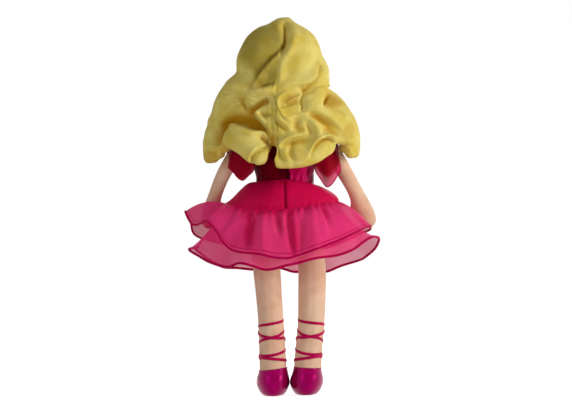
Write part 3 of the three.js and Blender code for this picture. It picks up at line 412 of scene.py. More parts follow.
# painted shade: a darker copy of the magenta satin, for the left back panel that lies in shade
shadedSatin = satinMaterial("magenta satin in painted shade", "#660004", "#3A0000", 0.5, 900.0, 0.1,
                            gloss=0.1)
slipperSatin = satinMaterial("slipper satin", "#94004A", "#720034", 0.21, 700.0, 0.05, gloss=1.0)
ribbonSatin = satinMaterial("ribbon satin", "#C0104E", "#9C063C", 0.45, 1100.0, 0.2, gloss=0.5)
upperOrganza = organzaMaterial("pink organza", "#E8387C", "#B80040", 0.81, stitchedAt=0.0466)
lowerOrganza = organzaMaterial("pink organza of the lower ruffle", "#E6347A", "#BC0848", 0.77, glow=0.14)
sleeveOrganza = organzaMaterial("sleeve organza", "#DC2E6C", "#86000A", 0.9, glow=0.03, sheen=0.0)
hemThread = threadMaterial("overlock thread", "#D0085C", "#A4003E", 1.2)
print("doll: materials made")


# hair: one gathered velour hood, drawn from the outline and the folds that the back view shows

hair = {
    "columns": 390,
    "rows": 240,
    "rollShare": 0.13,          # share of the rows that turn under at the lower edge
    "rollRadius": 6.5,
    "rollAngle": 235,
    "rollTightens": 0.35,       # share by which the roll's radius shrinks towards its end
    "closingRows": 5,           # over which the peak closes
    "foldDepth": 1.15,
    "lipCurl": 4.0,
    # the lower edge seen from behind: its middle x and half width, and its half turn
    "footMiddle": 1.7, "footHalf": 75.9, "footAngle": 112,
    # outlines of the back view: height and x at the doll's left and right, then x and height below
    "leftEdge": [(380.6, -2.3), (379.5, 2.5), (374.5, 12), (370.8, 22.1), (363.1, 31.4), (352.3, 38.4),
                 (344, 42.4), (336, 44.2), (327.5, 44.9), (321, 50.5), (315, 54.3), (305.5, 59.7),
                 (297, 63.4), (289.2, 66.6), (280, 72), (272.7, 72.9), (262, 75.2), (256.4, 76.1),
                 (249, 76.2), (243.5, 76.0), (236, 75.0)],
    "rightEdge": [(380.6, -8.3), (379.3, -11), (374.6, -15.2), (368.3, -24.4), (360.1, -33.1), (354, -36.5),
                  (350, -38.5), (342.5, -41.1), (335.7, -44.6), (330, -46.9), (324.5, -48.0), (318, -47.0),
                  (309.5, -45.4), (305, -50.1), (300.6, -55.6), (293.6, -62.1), (285, -65.5), (276, -69.4),
                  (268.2, -71.7), (262, -73), (255.5, -74.3), (250, -75.1), (242.8, -74.3), (236, -72)],
    "lowerEdge": [(-80, 240), (-76, 237.8), (-71, 236.8), (-67.5, 238.6), (-64.5, 243), (-62, 249.5),
                  (-55.5, 252.4), (-52.4, 250), (-51.2, 246.4), (-48.4, 242), (-41.7, 238.4), (-34, 234.7),
                  (-22.4, 230.9), (-10.9, 229.4), (-3.2, 229.2), (2.4, 229.6), (5.2, 232.4), (6.4, 238.0),
                  (6.6, 243.5), (7.0, 248.0), (10, 251.6), (15.2, 251.6), (16.4, 248.5), (16.9, 243),
                  (18.3, 237.8), (21.1, 234.4), (28, 233.6), (34.9, 236), (39.6, 239.2), (44.8, 244.4),
                  (50.7, 248.2), (56, 251.0), (60.8, 249), (66.8, 244.4), (71, 239.2), (77.5, 236.2),
                  (82.5, 239)],
    # height, y of the back, y of the widest place, y of the front
    "depths": [(380.6, 4, 3, 2), (379.5, 12, 3, -6), (375, 21, 4, -15), (368, 30, 5, -24),
               (358, 37, 5, -31), (345, 42, 5, -35), (330, 44.5, 5, -36), (312, 44, 3, -34),
               (298, 45, 2, -31), (282, 48, 1, -29), (265, 50, 0, -28), (250, 50, 0, -27),
               (232, 48, 0, -26)],
    # height, degrees from the back to the front edge on each side
    "frontEdge": [(381, 180), (364, 180), (358, 168), (348, 152), (336, 142), (322, 134), (308, 127),
                  (294, 122), (275, 117), (255, 114), (230, 112)],
    # painted shade on the doll's left, away from the light: x, z, half width, half height, share; it ends at
    # the parting
    "brushed": [(17, 350, 25, 25, 1.0), (8, 358, 10, 18, 0.8), (15, 325, 13, 15, 1.1),
                (24, 276, 26, 9, 0.35)],
    # shaded hollows: x, z, half width, half height, share
    "hollows": [(-8.7, 298.2, 9, 6, 0.4), (-53, 298.3, 12, 11, 0.6), (64.5, 263, 5, 10, 0.6),
                (72.5, 243, 6, 8, 0.5), (60, 250, 6, 5, 0.7), (-63.5, 264, 5, 10, 0.35),
                (-13, 243, 10, 7, 0.3)],
    "parting": [(300, 7.5), (322, 3.4), (332, 2.4), (343, 0.8), (350, -3.0), (357, -5.2), (365, -4.8),
                (381, -4.4)],
    "folds": [
        (-6.0, 2.6, [(-4.4, 374.5), (-4.7, 369.5), (-4.7, 364.8), (-5.2, 357.1), (-3.0, 349.5),
                     (-0.6, 344.5)]),
        (0.6, 4, [(2.9, 376.5), (2.5, 366.3), (2.2, 356.0)]),
        (2.0, 4.5, [(-12.4, 373.5), (-13.3, 362.0), (-10.4, 350.6), (-5.0, 341.8)]),
        (2.0, 1.5, [(-3.1, 372.5), (-3.5, 366.1), (-2.8, 361.0)]),
        (-3.2, 2.0, [(-4.1, 354.6), (1.8, 347.7), (13.0, 335.9), (23.3, 324.1), (30.0, 315.4),
                     (32.3, 311.0)]),
        (1.6, 2.0, [(-1.4, 348.9), (9.1, 337.1), (19.7, 324.7), (26.4, 315.9)]),
        (4.0, 14, [(24.1, 350.3), (29.5, 339.0)]),
        (4.0, 15, [(-22.0, 355.3), (-24.2, 342.5), (-21.3, 331.1)]),
        (-0.75, 1.0, [(0.7, 343.2), (2.3, 331.8), (3.2, 321.6), (5.4, 311.5), (7.1, 298.8), (9.9, 289.9),
                      (11.4, 281.0), (11.1, 270.8), (11.0, 252.9)]),
        (-1.8, 5, [(12.0, 327.0), (14.8, 318.1)]),
        (-2.2, 1.6, [(30.4, 310.5), (20.1, 311.9), (12.4, 314.0), (7.2, 316.0)]),
        (2.6, 3.4, [(36.3, 302.8), (26.6, 306.4), (17.6, 308.6), (8.7, 310.3)]),
        (-7.0, 4.2, [(36.0, 290.7), (29.7, 290.5), (21.9, 294.7), (13.5, 298.9)]),
        (3.2, 2.8, [(11.1, 294.4), (19.4, 292.7), (26.2, 287.6), (24.8, 282.1), (18.0, 274.2),
                    (11.9, 264.4)]),
        (-3.5, 2.2, [(22.8, 285.8), (17.7, 283.8), (12.6, 284.9)]),
        (-6.5, 7.5, [(63.2, 277.5), (51.6, 280.9), (38.9, 280.6), (28.8, 275.2), (20.2, 267.2),
                     (13.4, 258.7)]),
        (3.4, 3.2, [(60.3, 267.2), (55.9, 275.3), (45.6, 270.5), (31.7, 266.3), (21.4, 266.6),
                    (15.3, 259.4), (12.3, 253.0)]),
        (6.0, 11, [(49.7, 260.5), (37.2, 252.4), (28.4, 245.8)]),
        (-3.2, 1.8, [(24.1, 261.6), (19.2, 257.0), (14.2, 251.8)]),
        (-4.4, 1.9, [(16.8, 251.6), (24.6, 247.6), (30.0, 242.0), (32.0, 236.6)]),
        (5.5, 9, [(48.2, 311.5), (60.1, 297.8), (69.5, 282.7), (74.4, 267.6), (76.8, 255.4), (77.6, 238.0)]),
        (-8.4, 4.6, [(56.8, 279.8), (61.2, 270.2), (65.0, 262.6), (66.4, 254.8)]),
        (-4.0, 1.9, [(70.6, 246.2), (68.4, 247.2), (63.9, 250.8), (59.3, 257.0)]),
        (-3.2, 1.4, [(72.4, 247.6), (72.2, 242.4), (71.0, 237.6)]),
        (-3.6, 2.2, [(37.8, 304.8), (40.2, 300.4), (38.6, 290.8)]),
        (-1.6, 1.3, [(38.6, 304.2), (43.9, 306.9), (48.3, 308.7)]),
        (-1.8, 1.3, [(39.6, 300.4), (44.7, 301.4), (50.4, 300.7)]),
        (-1.4, 1.3, [(39.5, 295.9), (44.9, 294.1), (49.4, 291.1)]),
        (-1.4, 1.4, [(36.2, 305.4), (30.5, 305.8), (24.2, 303.7)]),
        (1.8, 4, [(-10.3, 346.7), (-3.0, 338.0), (0.5, 326.6), (1.5, 316.5)]),
        (-2.2, 6, [(-8.4, 325.1), (-19.9, 327.3), (-30.2, 330.8), (-38.1, 338.3)]),
        (2.6, 4, [(-0.3, 310.0), (-8.1, 314.9), (-18.3, 314.6), (-27.3, 319.4), (-33.9, 325.6)]),
        (-4.6, 2.0, [(-22.5, 308.1), (-27.8, 313.0), (-33.7, 319.0), (-38.4, 326.8), (-40.8, 333.1)]),
        (-3.8, 2.0, [(-18.1, 308.2), (-22.5, 306.6), (-20.4, 299.9), (-19.5, 292.9), (-21.8, 284.9)]),
        (2.6, 2.4, [(-13.0, 307.7), (-2.7, 304.8), (4.5, 298.7), (4.8, 289.8), (0.6, 281.3), (-6.3, 277.3)]),
        (-3.2, 1.5, [(-17.3, 303.4), (-10.9, 302.3), (-5.5, 299.3)]),
        (2.2, 1.4, [(-17.2, 300.0), (-11.1, 298.6), (-5.3, 295.0)]),
        (-2.7, 1.4, [(-17.1, 296.1), (-10.0, 295.1), (-3.5, 291.4)]),
        (2.4, 1.5, [(-18.9, 291.6), (-9.9, 290.6), (0.4, 288.6)]),
        (-2.2, 1.5, [(-20.0, 286.2), (-11.0, 285.2), (-2.1, 284.4)]),
        (2.6, 2.6, [(7.4, 287.3), (2.0, 277.6), (-6.7, 269.6)]),
        (-3.2, 2.4, [(8.4, 277.1), (2.1, 272.5), (-4.1, 267.2)]),
        (-4.2, 4.5, [(-15.3, 280.2), (-13.8, 271.3), (-19.4, 265.4)]),
        (4.0, 8, [(-36.1, 312.8), (-33.2, 302.7), (-29.2, 296.4)]),
        (1.8, 3, [(-41.6, 327.9), (-45.1, 317.6), (-43.6, 307.5)]),
        (-5.0, 2.4, [(-47.7, 308.6), (-44.6, 299.8), (-40.6, 293.3)]),
        (-1.5, 9, [(-50.9, 297.0), (-59.6, 287.8)]),
        (3.0, 3.4, [(-23.9, 290.2), (-35.4, 289.8), (-48.0, 284.4), (-59.3, 277.6), (-64.1, 268.6)]),
        (-3.4, 3.4, [(-25.0, 283.4), (-32.6, 281.6), (-41.4, 276.3), (-50.1, 269.0)]),
        (3.4, 3.4, [(-23.0, 281.9), (-30.5, 274.0), (-35.3, 265.6), (-31.9, 258.7), (-24.1, 253.2)]),
        (-3.4, 3, [(-24.7, 274.8), (-27.7, 265.8), (-25.6, 260.1)]),
        (2.8, 2.6, [(6.5, 252.8), (-2.6, 259.5), (-14.2, 263.0), (-24.5, 265.3)]),
        (-3.4, 2.2, [(1.4, 252.7), (-8.8, 254.3), (-19.1, 256.5), (-26.8, 258.2)]),
        (3.4, 2.6, [(-25.8, 245.5), (-29.8, 253.0), (-36.4, 258.5), (-44.8, 261.2), (-54.9, 258.0),
                    (-60.4, 252.7)]),
        (-3.8, 1.9, [(-25.0, 242.3), (-30.4, 250.4), (-36.9, 256.0), (-45.3, 258.3), (-50.9, 254.9)]),
        (2.6, 4.5, [(-34.0, 242.7), (-41.9, 250.1)]),
        (5.0, 9, [(-5.8, 239.7), (-17.3, 239.3), (-28.8, 240.9)]),
        (-4.2, 2.6, [(-9.4, 253.6), (-6.3, 246.0), (-9.0, 238.3)]),
        (-3.4, 1.5, [(6.4, 249.6), (3.0, 244.4), (-1.7, 237.9)]),
        (2.0, 1.8, [(8.7, 245.2), (5.7, 239.4), (2.0, 234.8)]),
        (4.5, 9, [(-67.1, 283.8), (-71.8, 270.9), (-72.8, 260.7)]),
        (-3.6, 1.7, [(-59.2, 252.0), (-63.6, 250.6), (-68.0, 250.2)]),
        (-3.0, 1.7, [(-60.4, 250.2), (-62.1, 244.4), (-66.4, 238.9)]),
        (-4.0, 4.5, [(-39.8, 268.0), (-49.9, 263.9), (-58.7, 257.2)]),
        # where one layer lies over another
        (0, 2, [(-4.1, 354.6), (1.8, 347.7), (13.0, 335.9), (23.3, 324.1), (30.0, 315.4), (33.5, 309.5)],
                (-1.4, -1.2, 7)),
        (0, 2, [(36.0, 308.0), (27.0, 311.0), (18.0, 312.3), (12.0, 314.0), (9.5, 315.0)], (0, -1.7, 6)),
        (0, 2, [(60.8, 262.0), (59.0, 272.0), (54.0, 277.2), (44.5, 273.0), (31.7, 269.0), (21.4, 268.8),
                (14.5, 262.0)],
                (-0.4, -2.4, 7)),
        (0, 2, [(-20.5, 309.0), (-27.8, 313.6), (-33.7, 319.6), (-38.6, 327.4), (-41.0, 335.0)],
                (1.5, 1.5, 7)),
        (0, 2, [(-49.0, 313.0), (-46.6, 304.0), (-42.6, 294.3), (-38.5, 289.0)], (3.6, 0.6, 10)),
        (0, 2, [(-22.0, 287.0), (-32.6, 284.6), (-42.4, 279.6), (-52.5, 272.0), (-59.5, 263.5)],
                (0.5, 2.4, 7)),
        (0, 2, [(28.0, 291.5), (29.0, 286.5), (24.0, 278.0), (17.0, 269.5)], (-1.6, 0.6, 5)),
        (0, 2, [(5.5, 251.2), (-3.0, 257.2), (-14.0, 260.4), (-25.0, 262.6)], (0, 1.6, 5)),
        (0, 2, [(-24.6, 241.0), (-29.5, 250.8), (-36.5, 256.6), (-45.0, 259.2), (-52.5, 255.6)],
                (0.3, 2.4, 5)),
        (0, 2, [(17.0, 252.8), (25.2, 249.6), (31.2, 243.6), (33.8, 237.0)], (1.6, 0.8, 4)),
        (0, 2, [(7.2, 296.0), (2.6, 286.0), (-2.2, 279.0), (-9.0, 275.2)], (0.6, 1.4, 4)),
        (0, 2, [(70.0, 247.4), (67.4, 249.2), (63.5, 252.6), (58.8, 259.4)], (0, 2.0, 4)),
        (0, 2, [(-58.2, 254.0), (-63.4, 252.4), (-67.6, 251.8)], (0, 1.6, 4)),
        # stitched gathers
        (-1.0, 0.9, [(40.5, 303.5), (47.5, 305.0), (55, 304.0)]),
        (-0.9, 0.9, [(41, 298.5), (48.0, 298.0), (54, 295.0)]),
        (-1.0, 0.9, [(36.5, 302.5), (30.5, 302.2), (25, 300.6)]),
        (-0.9, 0.9, [(37, 297.5), (32.0, 297.4), (27, 296.2)]),
        (-1.0, 0.9, [(-21, 305.2), (-15, 305.4), (-8, 304.2)]),
        (-1.0, 0.9, [(-19.5, 298.2), (-14, 297.6), (-8, 295.8)]),
        (-0.9, 0.9, [(-20.5, 289), (-15, 288.2), (-9, 287.4)]),
        (-1.0, 0.9, [(-23.5, 303.5), (-28, 304.5), (-32, 307.2)]),
        (-1.0, 0.9, [(-22.5, 297.0), (-27, 297.4), (-32, 299.2)]),
        (-0.9, 0.9, [(-22.5, 291.5), (-27, 290.6), (-32, 291.0)]),
    ],
}


def hairShape(u, v):
    # u runs round from one front edge over the back to the other, v from the peak down to the rolled edge.
    columns, rows = hair["columns"] + 1, hair["rows"] + 1
    u = u.reshape(rows, columns)
    v = v.reshape(rows, columns)
    top, roll, radius = hair["leftEdge"][0][0], hair["rollShare"], hair["rollRadius"]
    down = np.clip(v / (1 - roll), 0, 1)
    # the rows lie closer together near the peak
    down = np.where(down < 0.3, down ** 2 / 0.51, (0.3 / 1.7) + (down - 0.3) * 2 / 1.7)
    rolled = np.clip((v - (1 - roll)) / roll, 0, 1)
    low = smoothLine(hair["lowerEdge"], 160)
    spread = (u - 0.5) * 2
    spread = 0.8 * spread + 0.2 * spread ** 3       # closer columns at the back than at the front edges
    footTurn = spread * math.radians(hair["footAngle"])
    foot = np.interp(hair["footMiddle"] + hair["footHalf"] * np.sin(footTurn), low[:, 0], low[:, 1]) + radius
    z = top - (top - foot) * down
    left = profileAt(hair["leftEdge"], z.ravel())[:, 0].reshape(z.shape)
    right = profileAt(hair["rightEdge"], z.ravel())[:, 0].reshape(z.shape)
    depth = profileAt(hair["depths"], z.ravel()).reshape(z.shape + (3,))
    edge = np.radians(profileAt(hair["frontEdge"], z.ravel())[:, 0].reshape(z.shape))
    turn = edge * spread
    middle, half = (left + right) / 2, (left - right) / 2
    closing = np.clip(v * hair["rows"] / hair["closingRows"], 0, 1)      # the first rows close the peak
    x = middle + half * np.sin(turn) * closing
    back, wide, front = depth[..., 0], depth[..., 1], depth[..., 2]
    y = wide + np.where(np.cos(turn) > 0, back - wide, wide - front) * np.cos(turn) * closing
    ease = easeAt(y)
    plain = np.stack([x * ease, y, cameraHeight + (z - cameraHeight) * ease], axis=-1)
    across = np.gradient(plain, axis=1)
    along = np.gradient(plain, axis=0)
    outward = np.cross(along, across)
    size = np.linalg.norm(outward, axis=-1, keepdims=True)
    outward = np.where(size > 1e-6, outward / np.maximum(size, 1e-6), np.array([0, 0, 1.0]))
    away = (x - middle) * outward[..., 0] + (y - wide) * outward[..., 1]
    outward = np.where((away < 0)[..., None], -outward, outward)
    lastPlain = int((1 - roll) * hair["rows"]) - 1
    outward[lastPlain + 1:] = outward[lastPlain]
    facing = smoothStep(-0.05, 0.35, outward[..., 1])
    drawn = hair["foldDepth"] * foldLift(x.ravel(), z.ravel(), hair["folds"]).reshape(x.shape)
    # the unseen sides and front hang in long soft waves
    waves = np.sin(turn * 9 + z * 0.035) * 1.6 + np.sin(turn * 17 - z * 0.06) * 0.7
    waves = waves * smoothStep(335, 285, z)
    # the front edges are stitched down
    edgeNear = np.minimum(u, 1 - u) * 2 * edge * half
    tuck = -3.2 * np.exp(-(edgeNear / 3.0) ** 2) * smoothStep(366, 356, z)
    lift = drawn * facing + waves * (1 - facing) + tuck
    shaped = plain + outward * lift[..., None]
    # the last rows roll inwards
    level = outward * np.array([1, 1, 0])
    level /= np.maximum(np.linalg.norm(level, axis=-1, keepdims=True), 1e-6)
    bend = rolled * math.radians(hair["rollAngle"])
    shrink = 1 - hair["rollTightens"] * rolled
    shaped = shaped - level * (radius * shrink * (1 - np.cos(bend)))[..., None]
    shaped[..., 2] -= radius * shrink * np.sin(bend)
    # the lip of the right lobe curls towards the notch
    lip = smoothStep(-6, 5, x) * smoothStep(13, 10, x) * smoothStep(247, 237, shaped[..., 2])
    shaped[..., 0] += hair["lipCurl"] * lip * (shaped[..., 1] > 0)
    # what the material reads: painted shade on the doll's left, and painted shade in the folds, hollows and
    # rolled ends
    brushed = spotShare(x, z, hair["brushed"], 0.45)
    parting = np.interp(z, *np.array(hair["parting"]).T)
    hair["nap"] = (brushed * smoothStep(-1.0, 1.5, x - parting) * facing).ravel()
    deep = np.maximum(smoothStep(0.5, 8.0, -lift), spotShare(x, z, hair["hollows"], 0.2)) * facing
    hair["deep"] = np.maximum(deep, 0.5 * smoothStep(0.5, 1.0, rolled)).ravel()
    return shaped.reshape(-1, 3)


hairPiece = clothGrid("hair", hair["columns"], hair["rows"], hairShape, hairVelour, cut=(0.29, 0.16),
                      values=lambda down: {"tone": hair["deep"], "nap": hair["nap"]})
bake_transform(hairPiece)
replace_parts(hairPiece, *[f"hair_{part}_{side}" for part in ("crown", "fall", "curl_outer", "curl_inner")
                         for side in ("left", "right")])
print("doll: hair made,", len(hairPiece.data.polygons), "faces")


# head and face

head = {
    "halfWidth": 36.0, "halfDepth": 34.0, "middle": 327.5, "halfHeight": 40.5, "back": 1.0,
    "eyeSpacing": 13.0, "eyeHeight": 325.0,
    "noseHeight": 315, "noseReach": 2.6, "chinHeight": 298, "chinReach": 1.2,
}


def headSurface(turn, share):
    rise = np.cos(share * math.pi)
    full = np.sin(share * math.pi) ** 0.85
    cheeks = 1 + 0.03 * np.exp(-((rise + 0.35) / 0.3) ** 2)
    x = head["halfWidth"] * full * cheeks * np.cos(turn)
    y = head["back"] + head["halfDepth"] * full * np.sin(turn)
    z = head["middle"] + head["halfHeight"] * rise
    # a small stuffed nose and a soft chin at the front
    front = np.clip(-np.sin(turn), 0, 1)
    nose = head["noseReach"] * np.exp(-(x / 2.6) ** 2 - ((z - head["noseHeight"]) / 2.4) ** 2) * front
    chin = head["chinReach"] * np.exp(-(x / 8) ** 2 - ((z - head["chinHeight"]) / 5) ** 2) * front
    return np.stack([x, y - nose - chin, z], axis=-1)


headPiece = closedForm("head", 72, 56, headSurface, skinVelour)
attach(headPiece, "head")
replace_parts(headPiece, "head_skin", "head_filling")


neck = {"top": 289, "length": 29, "radius": 10.8}


def neckSurface(turn, share):
    z = neck["top"] - neck["length"] * share
    size = neck["radius"] * np.clip(np.sin(share * math.pi), 0, 1) ** 0.22
    size = size * (1 - 0.05 * np.sin(share * math.pi))
    return np.stack([size * np.cos(turn), size * np.sin(turn), z], axis=-1)


neckPiece = closedForm("neck_skin", 32, 18, neckSurface, skinVelour)
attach(neckPiece, "head")
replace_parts(neckPiece, "neck")

headMesh = bmesh.new()
headMesh.from_mesh(headPiece.data)
headTree = BVHTree.FromBMesh(headMesh)


def onHead(x, z, lift):
    hit = headTree.ray_cast(Vector((x * mm, -0.2, z * mm)), Vector((0, 1, 0)))
    point, normal = hit[0], hit[1]
    if point is None:
        point, normal = Vector((x * mm, -0.01, z * mm)), Vector((0, -1, 0))
    return point / mm + normal * lift


def stitchedShape(name, outline, lift, height, material, node=None):
    # Satin stitch: a low domed patch on the face, seen from the front as the closed outline (x, z).
    edge = smoothLine(outline, 41, closed=True)
    middle = edge[:-1].mean(axis=0)

    def place(u, v):
        ring = edge[np.rint(u * 40).astype(int)]
        flat = middle + (ring - middle) * v[:, None]
        dome = np.sqrt(np.clip(1 - v ** 4, 0, 1)) * height
        return np.array([onHead(a, b, lift + c) for (a, b), c in zip(flat, dome)])

    patch = clothGrid(name, 40, 7, place, material, cut=(0.02, 0.01))
    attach(patch, "head")
    if node:
        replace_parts(patch, node)


def stitchedLine(name, points, radius, lift, material):
    line = smoothLine(points, 25)
    spots = np.array([onHead(a, b, lift) for a, b in line])
    facing = spots - np.array([0, head["back"], head["middle"]])
    stitch = tubeAlong(name, spots, radius, material, sides=8, facing=facing)
    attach(stitch, "head")
    return stitch


def ellipse(x, z, halfWidth, halfHeight):
    turns = [i * math.pi / 6 for i in range(12)]
    return [(x + halfWidth * math.cos(t), z + halfHeight * math.sin(t)) for t in turns]


whiteThread = threadMaterial("white eye thread", "#F4F0E8", "#DAD4C8")
irisThread = threadMaterial("grey blue eye thread", "#5C87A8", "#3D6484")
pupilThread = threadMaterial("dark brown eye thread", "#2E1F18", "#1E1410")
browThread = threadMaterial("brow thread", "#B98A3E", "#8E6728")
mouthThread = threadMaterial("rose mouth thread", "#C65A68", "#A84454")
blushThread = velourMaterial("blush tint", "#E8AE98", "#E2A08C", "#D08874", 0.1, nap=0.6)

for side, word in bothSides:
    ex, ez = side * head["eyeSpacing"], head["eyeHeight"]
    stitchedShape(f"eye_white_{word}", ellipse(ex, ez, 4.9, 5.2), 0.15, 0.45, whiteThread, node=f"eye_{word}")
    stitchedShape(f"iris_{word}", ellipse(ex - side * 0.5, ez - 0.4, 3.3, 3.9), 0.5, 0.45, irisThread)
    stitchedShape(f"pupil_{word}", ellipse(ex - side * 0.5, ez - 0.5, 1.7, 2.2), 0.9, 0.35, pupilThread)
    stitchedShape(f"glint_{word}", ellipse(ex + 0.6, ez + 1.2, 0.7, 0.8), 1.25, 0.2, whiteThread)
    lid = [(ex - side * 5.0, ez + 1.2), (ex - side * 3.4, ez + 4.3), (ex, ez + 5.7),
           (ex + side * 3.6, ez + 4.6), (ex + side * 5.9, ez + 2.2)]
    stitchedLine(f"lid_{word}", lid, 0.55, 0.55, pupilThread)
    for count, (away, rise) in enumerate([(2.4, 2.7), (3.0, 1.6), (3.2, 0.4)]):
        x, z = ex + side * (3.6 + count * 0.9), ez + 4.5 - count * 1.1
        lash = [(x, z), (x + side * away * 0.6, z + rise * 0.45), (x + side * away, z + rise)]
        stitchedLine(f"lash_{word}_{count + 1}", lash, 0.32, 0.4, pupilThread)
    brow = [(ex - side * 4.6, ez + 9.6), (ex, ez + 11.6), (ex + side * 5.0, ez + 10.2)]
    stitchedLine(f"brow_{word}", brow, 0.45, 0.3, browThread)
    stitchedShape(f"blush_{word}", ellipse(side * 19.5, 312, 4.2, 3.2), 0.05, 0.12, blushThread)

smile = [(-6.2, 306.0), (-3.4, 304.2), (0, 303.4), (3.4, 304.2), (6.2, 306.0)]
mouthPiece = stitchedLine("mouth_stitch", smile, 0.6, 0.35, mouthThread)
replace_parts(mouthPiece, "mouth")
print("doll: head and face made")


# torso, seat, arms and legs: stuffed skin velour

body = {
    # height, half width, half depth
    "torso": [(190, 24, 14.5), (196, 28.2, 16.5), (206, 27.8, 17), (214, 26.7, 16.2), (222, 26.5, 15.8),
              (230, 28.3, 16.6), (241, 30.4, 17.8), (252, 31, 17.4), (262, 30, 15.5), (267, 22, 13.5),
              (271, 14, 11.5), (273, 6, 6)],
    "torsoLow": 189, "torsoHigh": 273,
    "seatWidth": 36.0, "seatRadius": 16.8, "seatHeight": 179,       # half width, radius, height of its axis
}


def torsoSurface(turn, share):
    low, high = body["torsoLow"], body["torsoHigh"]
    z = (low + high) / 2 + (high - low) / 2 * np.cos(share * math.pi)
    sizes = profileAt(body["torso"], np.clip(z, low + 1, high))
    cap = np.clip((z - low) / 4, 0, 1) ** 0.5 * np.clip((high - z) / 2, 0, 1) ** 0.5
    return np.stack([sizes[:, 0] * cap * np.cos(turn), sizes[:, 1] * cap * np.sin(turn), z], axis=-1)


def seatSurface(turn, share):
    x = body["seatWidth"] * np.cos(share * math.pi)
    size = body["seatRadius"] * np.clip(np.sin(share * math.pi), 0, 1) ** 0.35
    size = size * (1 - 0.1 * np.exp(-(x / 5) ** 2))     # a dimple between the two sides
    return np.stack([x, size * np.cos(turn), body["seatHeight"] + size * np.sin(turn)], axis=-1)


torsoPiece = closedForm("torso", 48, 40, torsoSurface, skinVelour)
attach(torsoPiece, "torso")
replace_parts(torsoPiece, "torso_skin", "torso_filling")
seatPiece = closedForm("seat", 36, 32, seatSurface, skinVelour)
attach(seatPiece, "seat")
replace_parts(seatPiece, "seat_skin", "seat_pellet_bag")

arm = {
    # share of the length, half width seen from behind, half depth; the mitten hand is at the end
    "sizes": [(-0.09, 2.0, 2.0), (-0.05, 6.2, 6.0), (0.0, 8.4, 8.2), (0.1, 8.2, 7.8), (0.25, 7.4, 7.0),
              (0.45, 6.8, 6.4), (0.62, 6.6, 6.0), (0.76, 7.8, 5.8), (0.88, 8.2, 5.6), (0.96, 6.2, 4.4),
              (1.0, 2.0, 1.8)],
    # share, out from the shoulder, forward, down
    "way": {"left": [(-0.1, -2, 0, -9), (0, 0, 0, 0), (0.2, 12.2, -2, 18), (0.4, 23.6, -7, 36),
                     (0.6, 31.9, -14, 54), (0.8, 38.2, -23, 73), (1.0, 42, -34, 91)],
            "right": [(-0.1, -2, 0, -9), (0, 0, 0, 0), (0.2, 11.8, -2, 18), (0.4, 22.8, -7, 37),
                      (0.6, 32.5, -14, 55), (0.8, 41.2, -22, 75), (1.0, 49.8, -30, 94.4)]},
    "shoulder": (38, 262),      # x and z
    "fullness": {"left": 1.03, "right": 1.14},
    "thumb": 0.78, "thumbReach": 4.2,       # share of the length, mm
}


def makeArm(side, word):
    way = smoothLine(arm["way"][word], 160)
    sizes = smoothLine(arm["sizes"], 200)
    sizes = sizes[np.argsort(sizes[:, 0])]

    def place(turn, share):
        along = -0.09 + 1.09 * (0.5 - 0.5 * np.cos(share * math.pi))
        spot = np.stack([np.interp(along, way[:, 0], way[:, k]) for k in (1, 2, 3)], axis=-1)
        ahead = np.stack([np.interp(along + 0.02, way[:, 0], way[:, k])
                          - np.interp(along - 0.02, way[:, 0], way[:, k]) for k in (1, 2, 3)], axis=-1)
        ahead = ahead * np.array([1, 1, -1])
        ahead /= np.linalg.norm(ahead, axis=1)[:, None]
        width = arm["fullness"][word] * np.interp(along, sizes[:, 0], sizes[:, 1])
        deep = np.interp(along, sizes[:, 0], sizes[:, 2])
        tip = np.clip(np.sin(share * math.pi) * 3.2, 0, 1) ** 0.5
        back = np.tile([0.0, 1.0, 0.0], (len(along), 1))
        back -= (back * ahead).sum(axis=1)[:, None] * ahead
        back /= np.linalg.norm(back, axis=1)[:, None]
        out = np.cross(back, ahead)
        centre = spot * np.array([1, 1, -1])
        # thumb: a rounded swelling on the front and inner side of the hand
        facing = np.cos(turn + 0.35)
        thumb = np.exp(-((along - arm["thumb"]) / 0.055) ** 2) * np.clip(facing, 0, 1) ** 5
        thumb = arm["thumbReach"] * thumb
        # the arm's seam: a fine groove down the inner side
        seam = -0.5 * np.exp(-((np.mod(turn + math.pi, 2 * math.pi) - math.pi) / 0.08) ** 2)
        beside = (width * tip + thumb + seam) * np.cos(turn)
        behind = (deep * tip + 0.4 * thumb) * np.sin(turn)
        form = centre + out * beside[:, None] + back * behind[:, None]
        form[:, 0] = side * (arm["shoulder"][0] + form[:, 0])
        form[:, 2] += arm["shoulder"][1]
        return form

    piece = closedForm(f"arm_{word}", 40, 72, place, skinVelour)
    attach(piece, f"arm_{word}")
    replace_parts(piece, f"arm_skin_{word}", f"arm_filling_{word}", f"arm_seam_{word}")


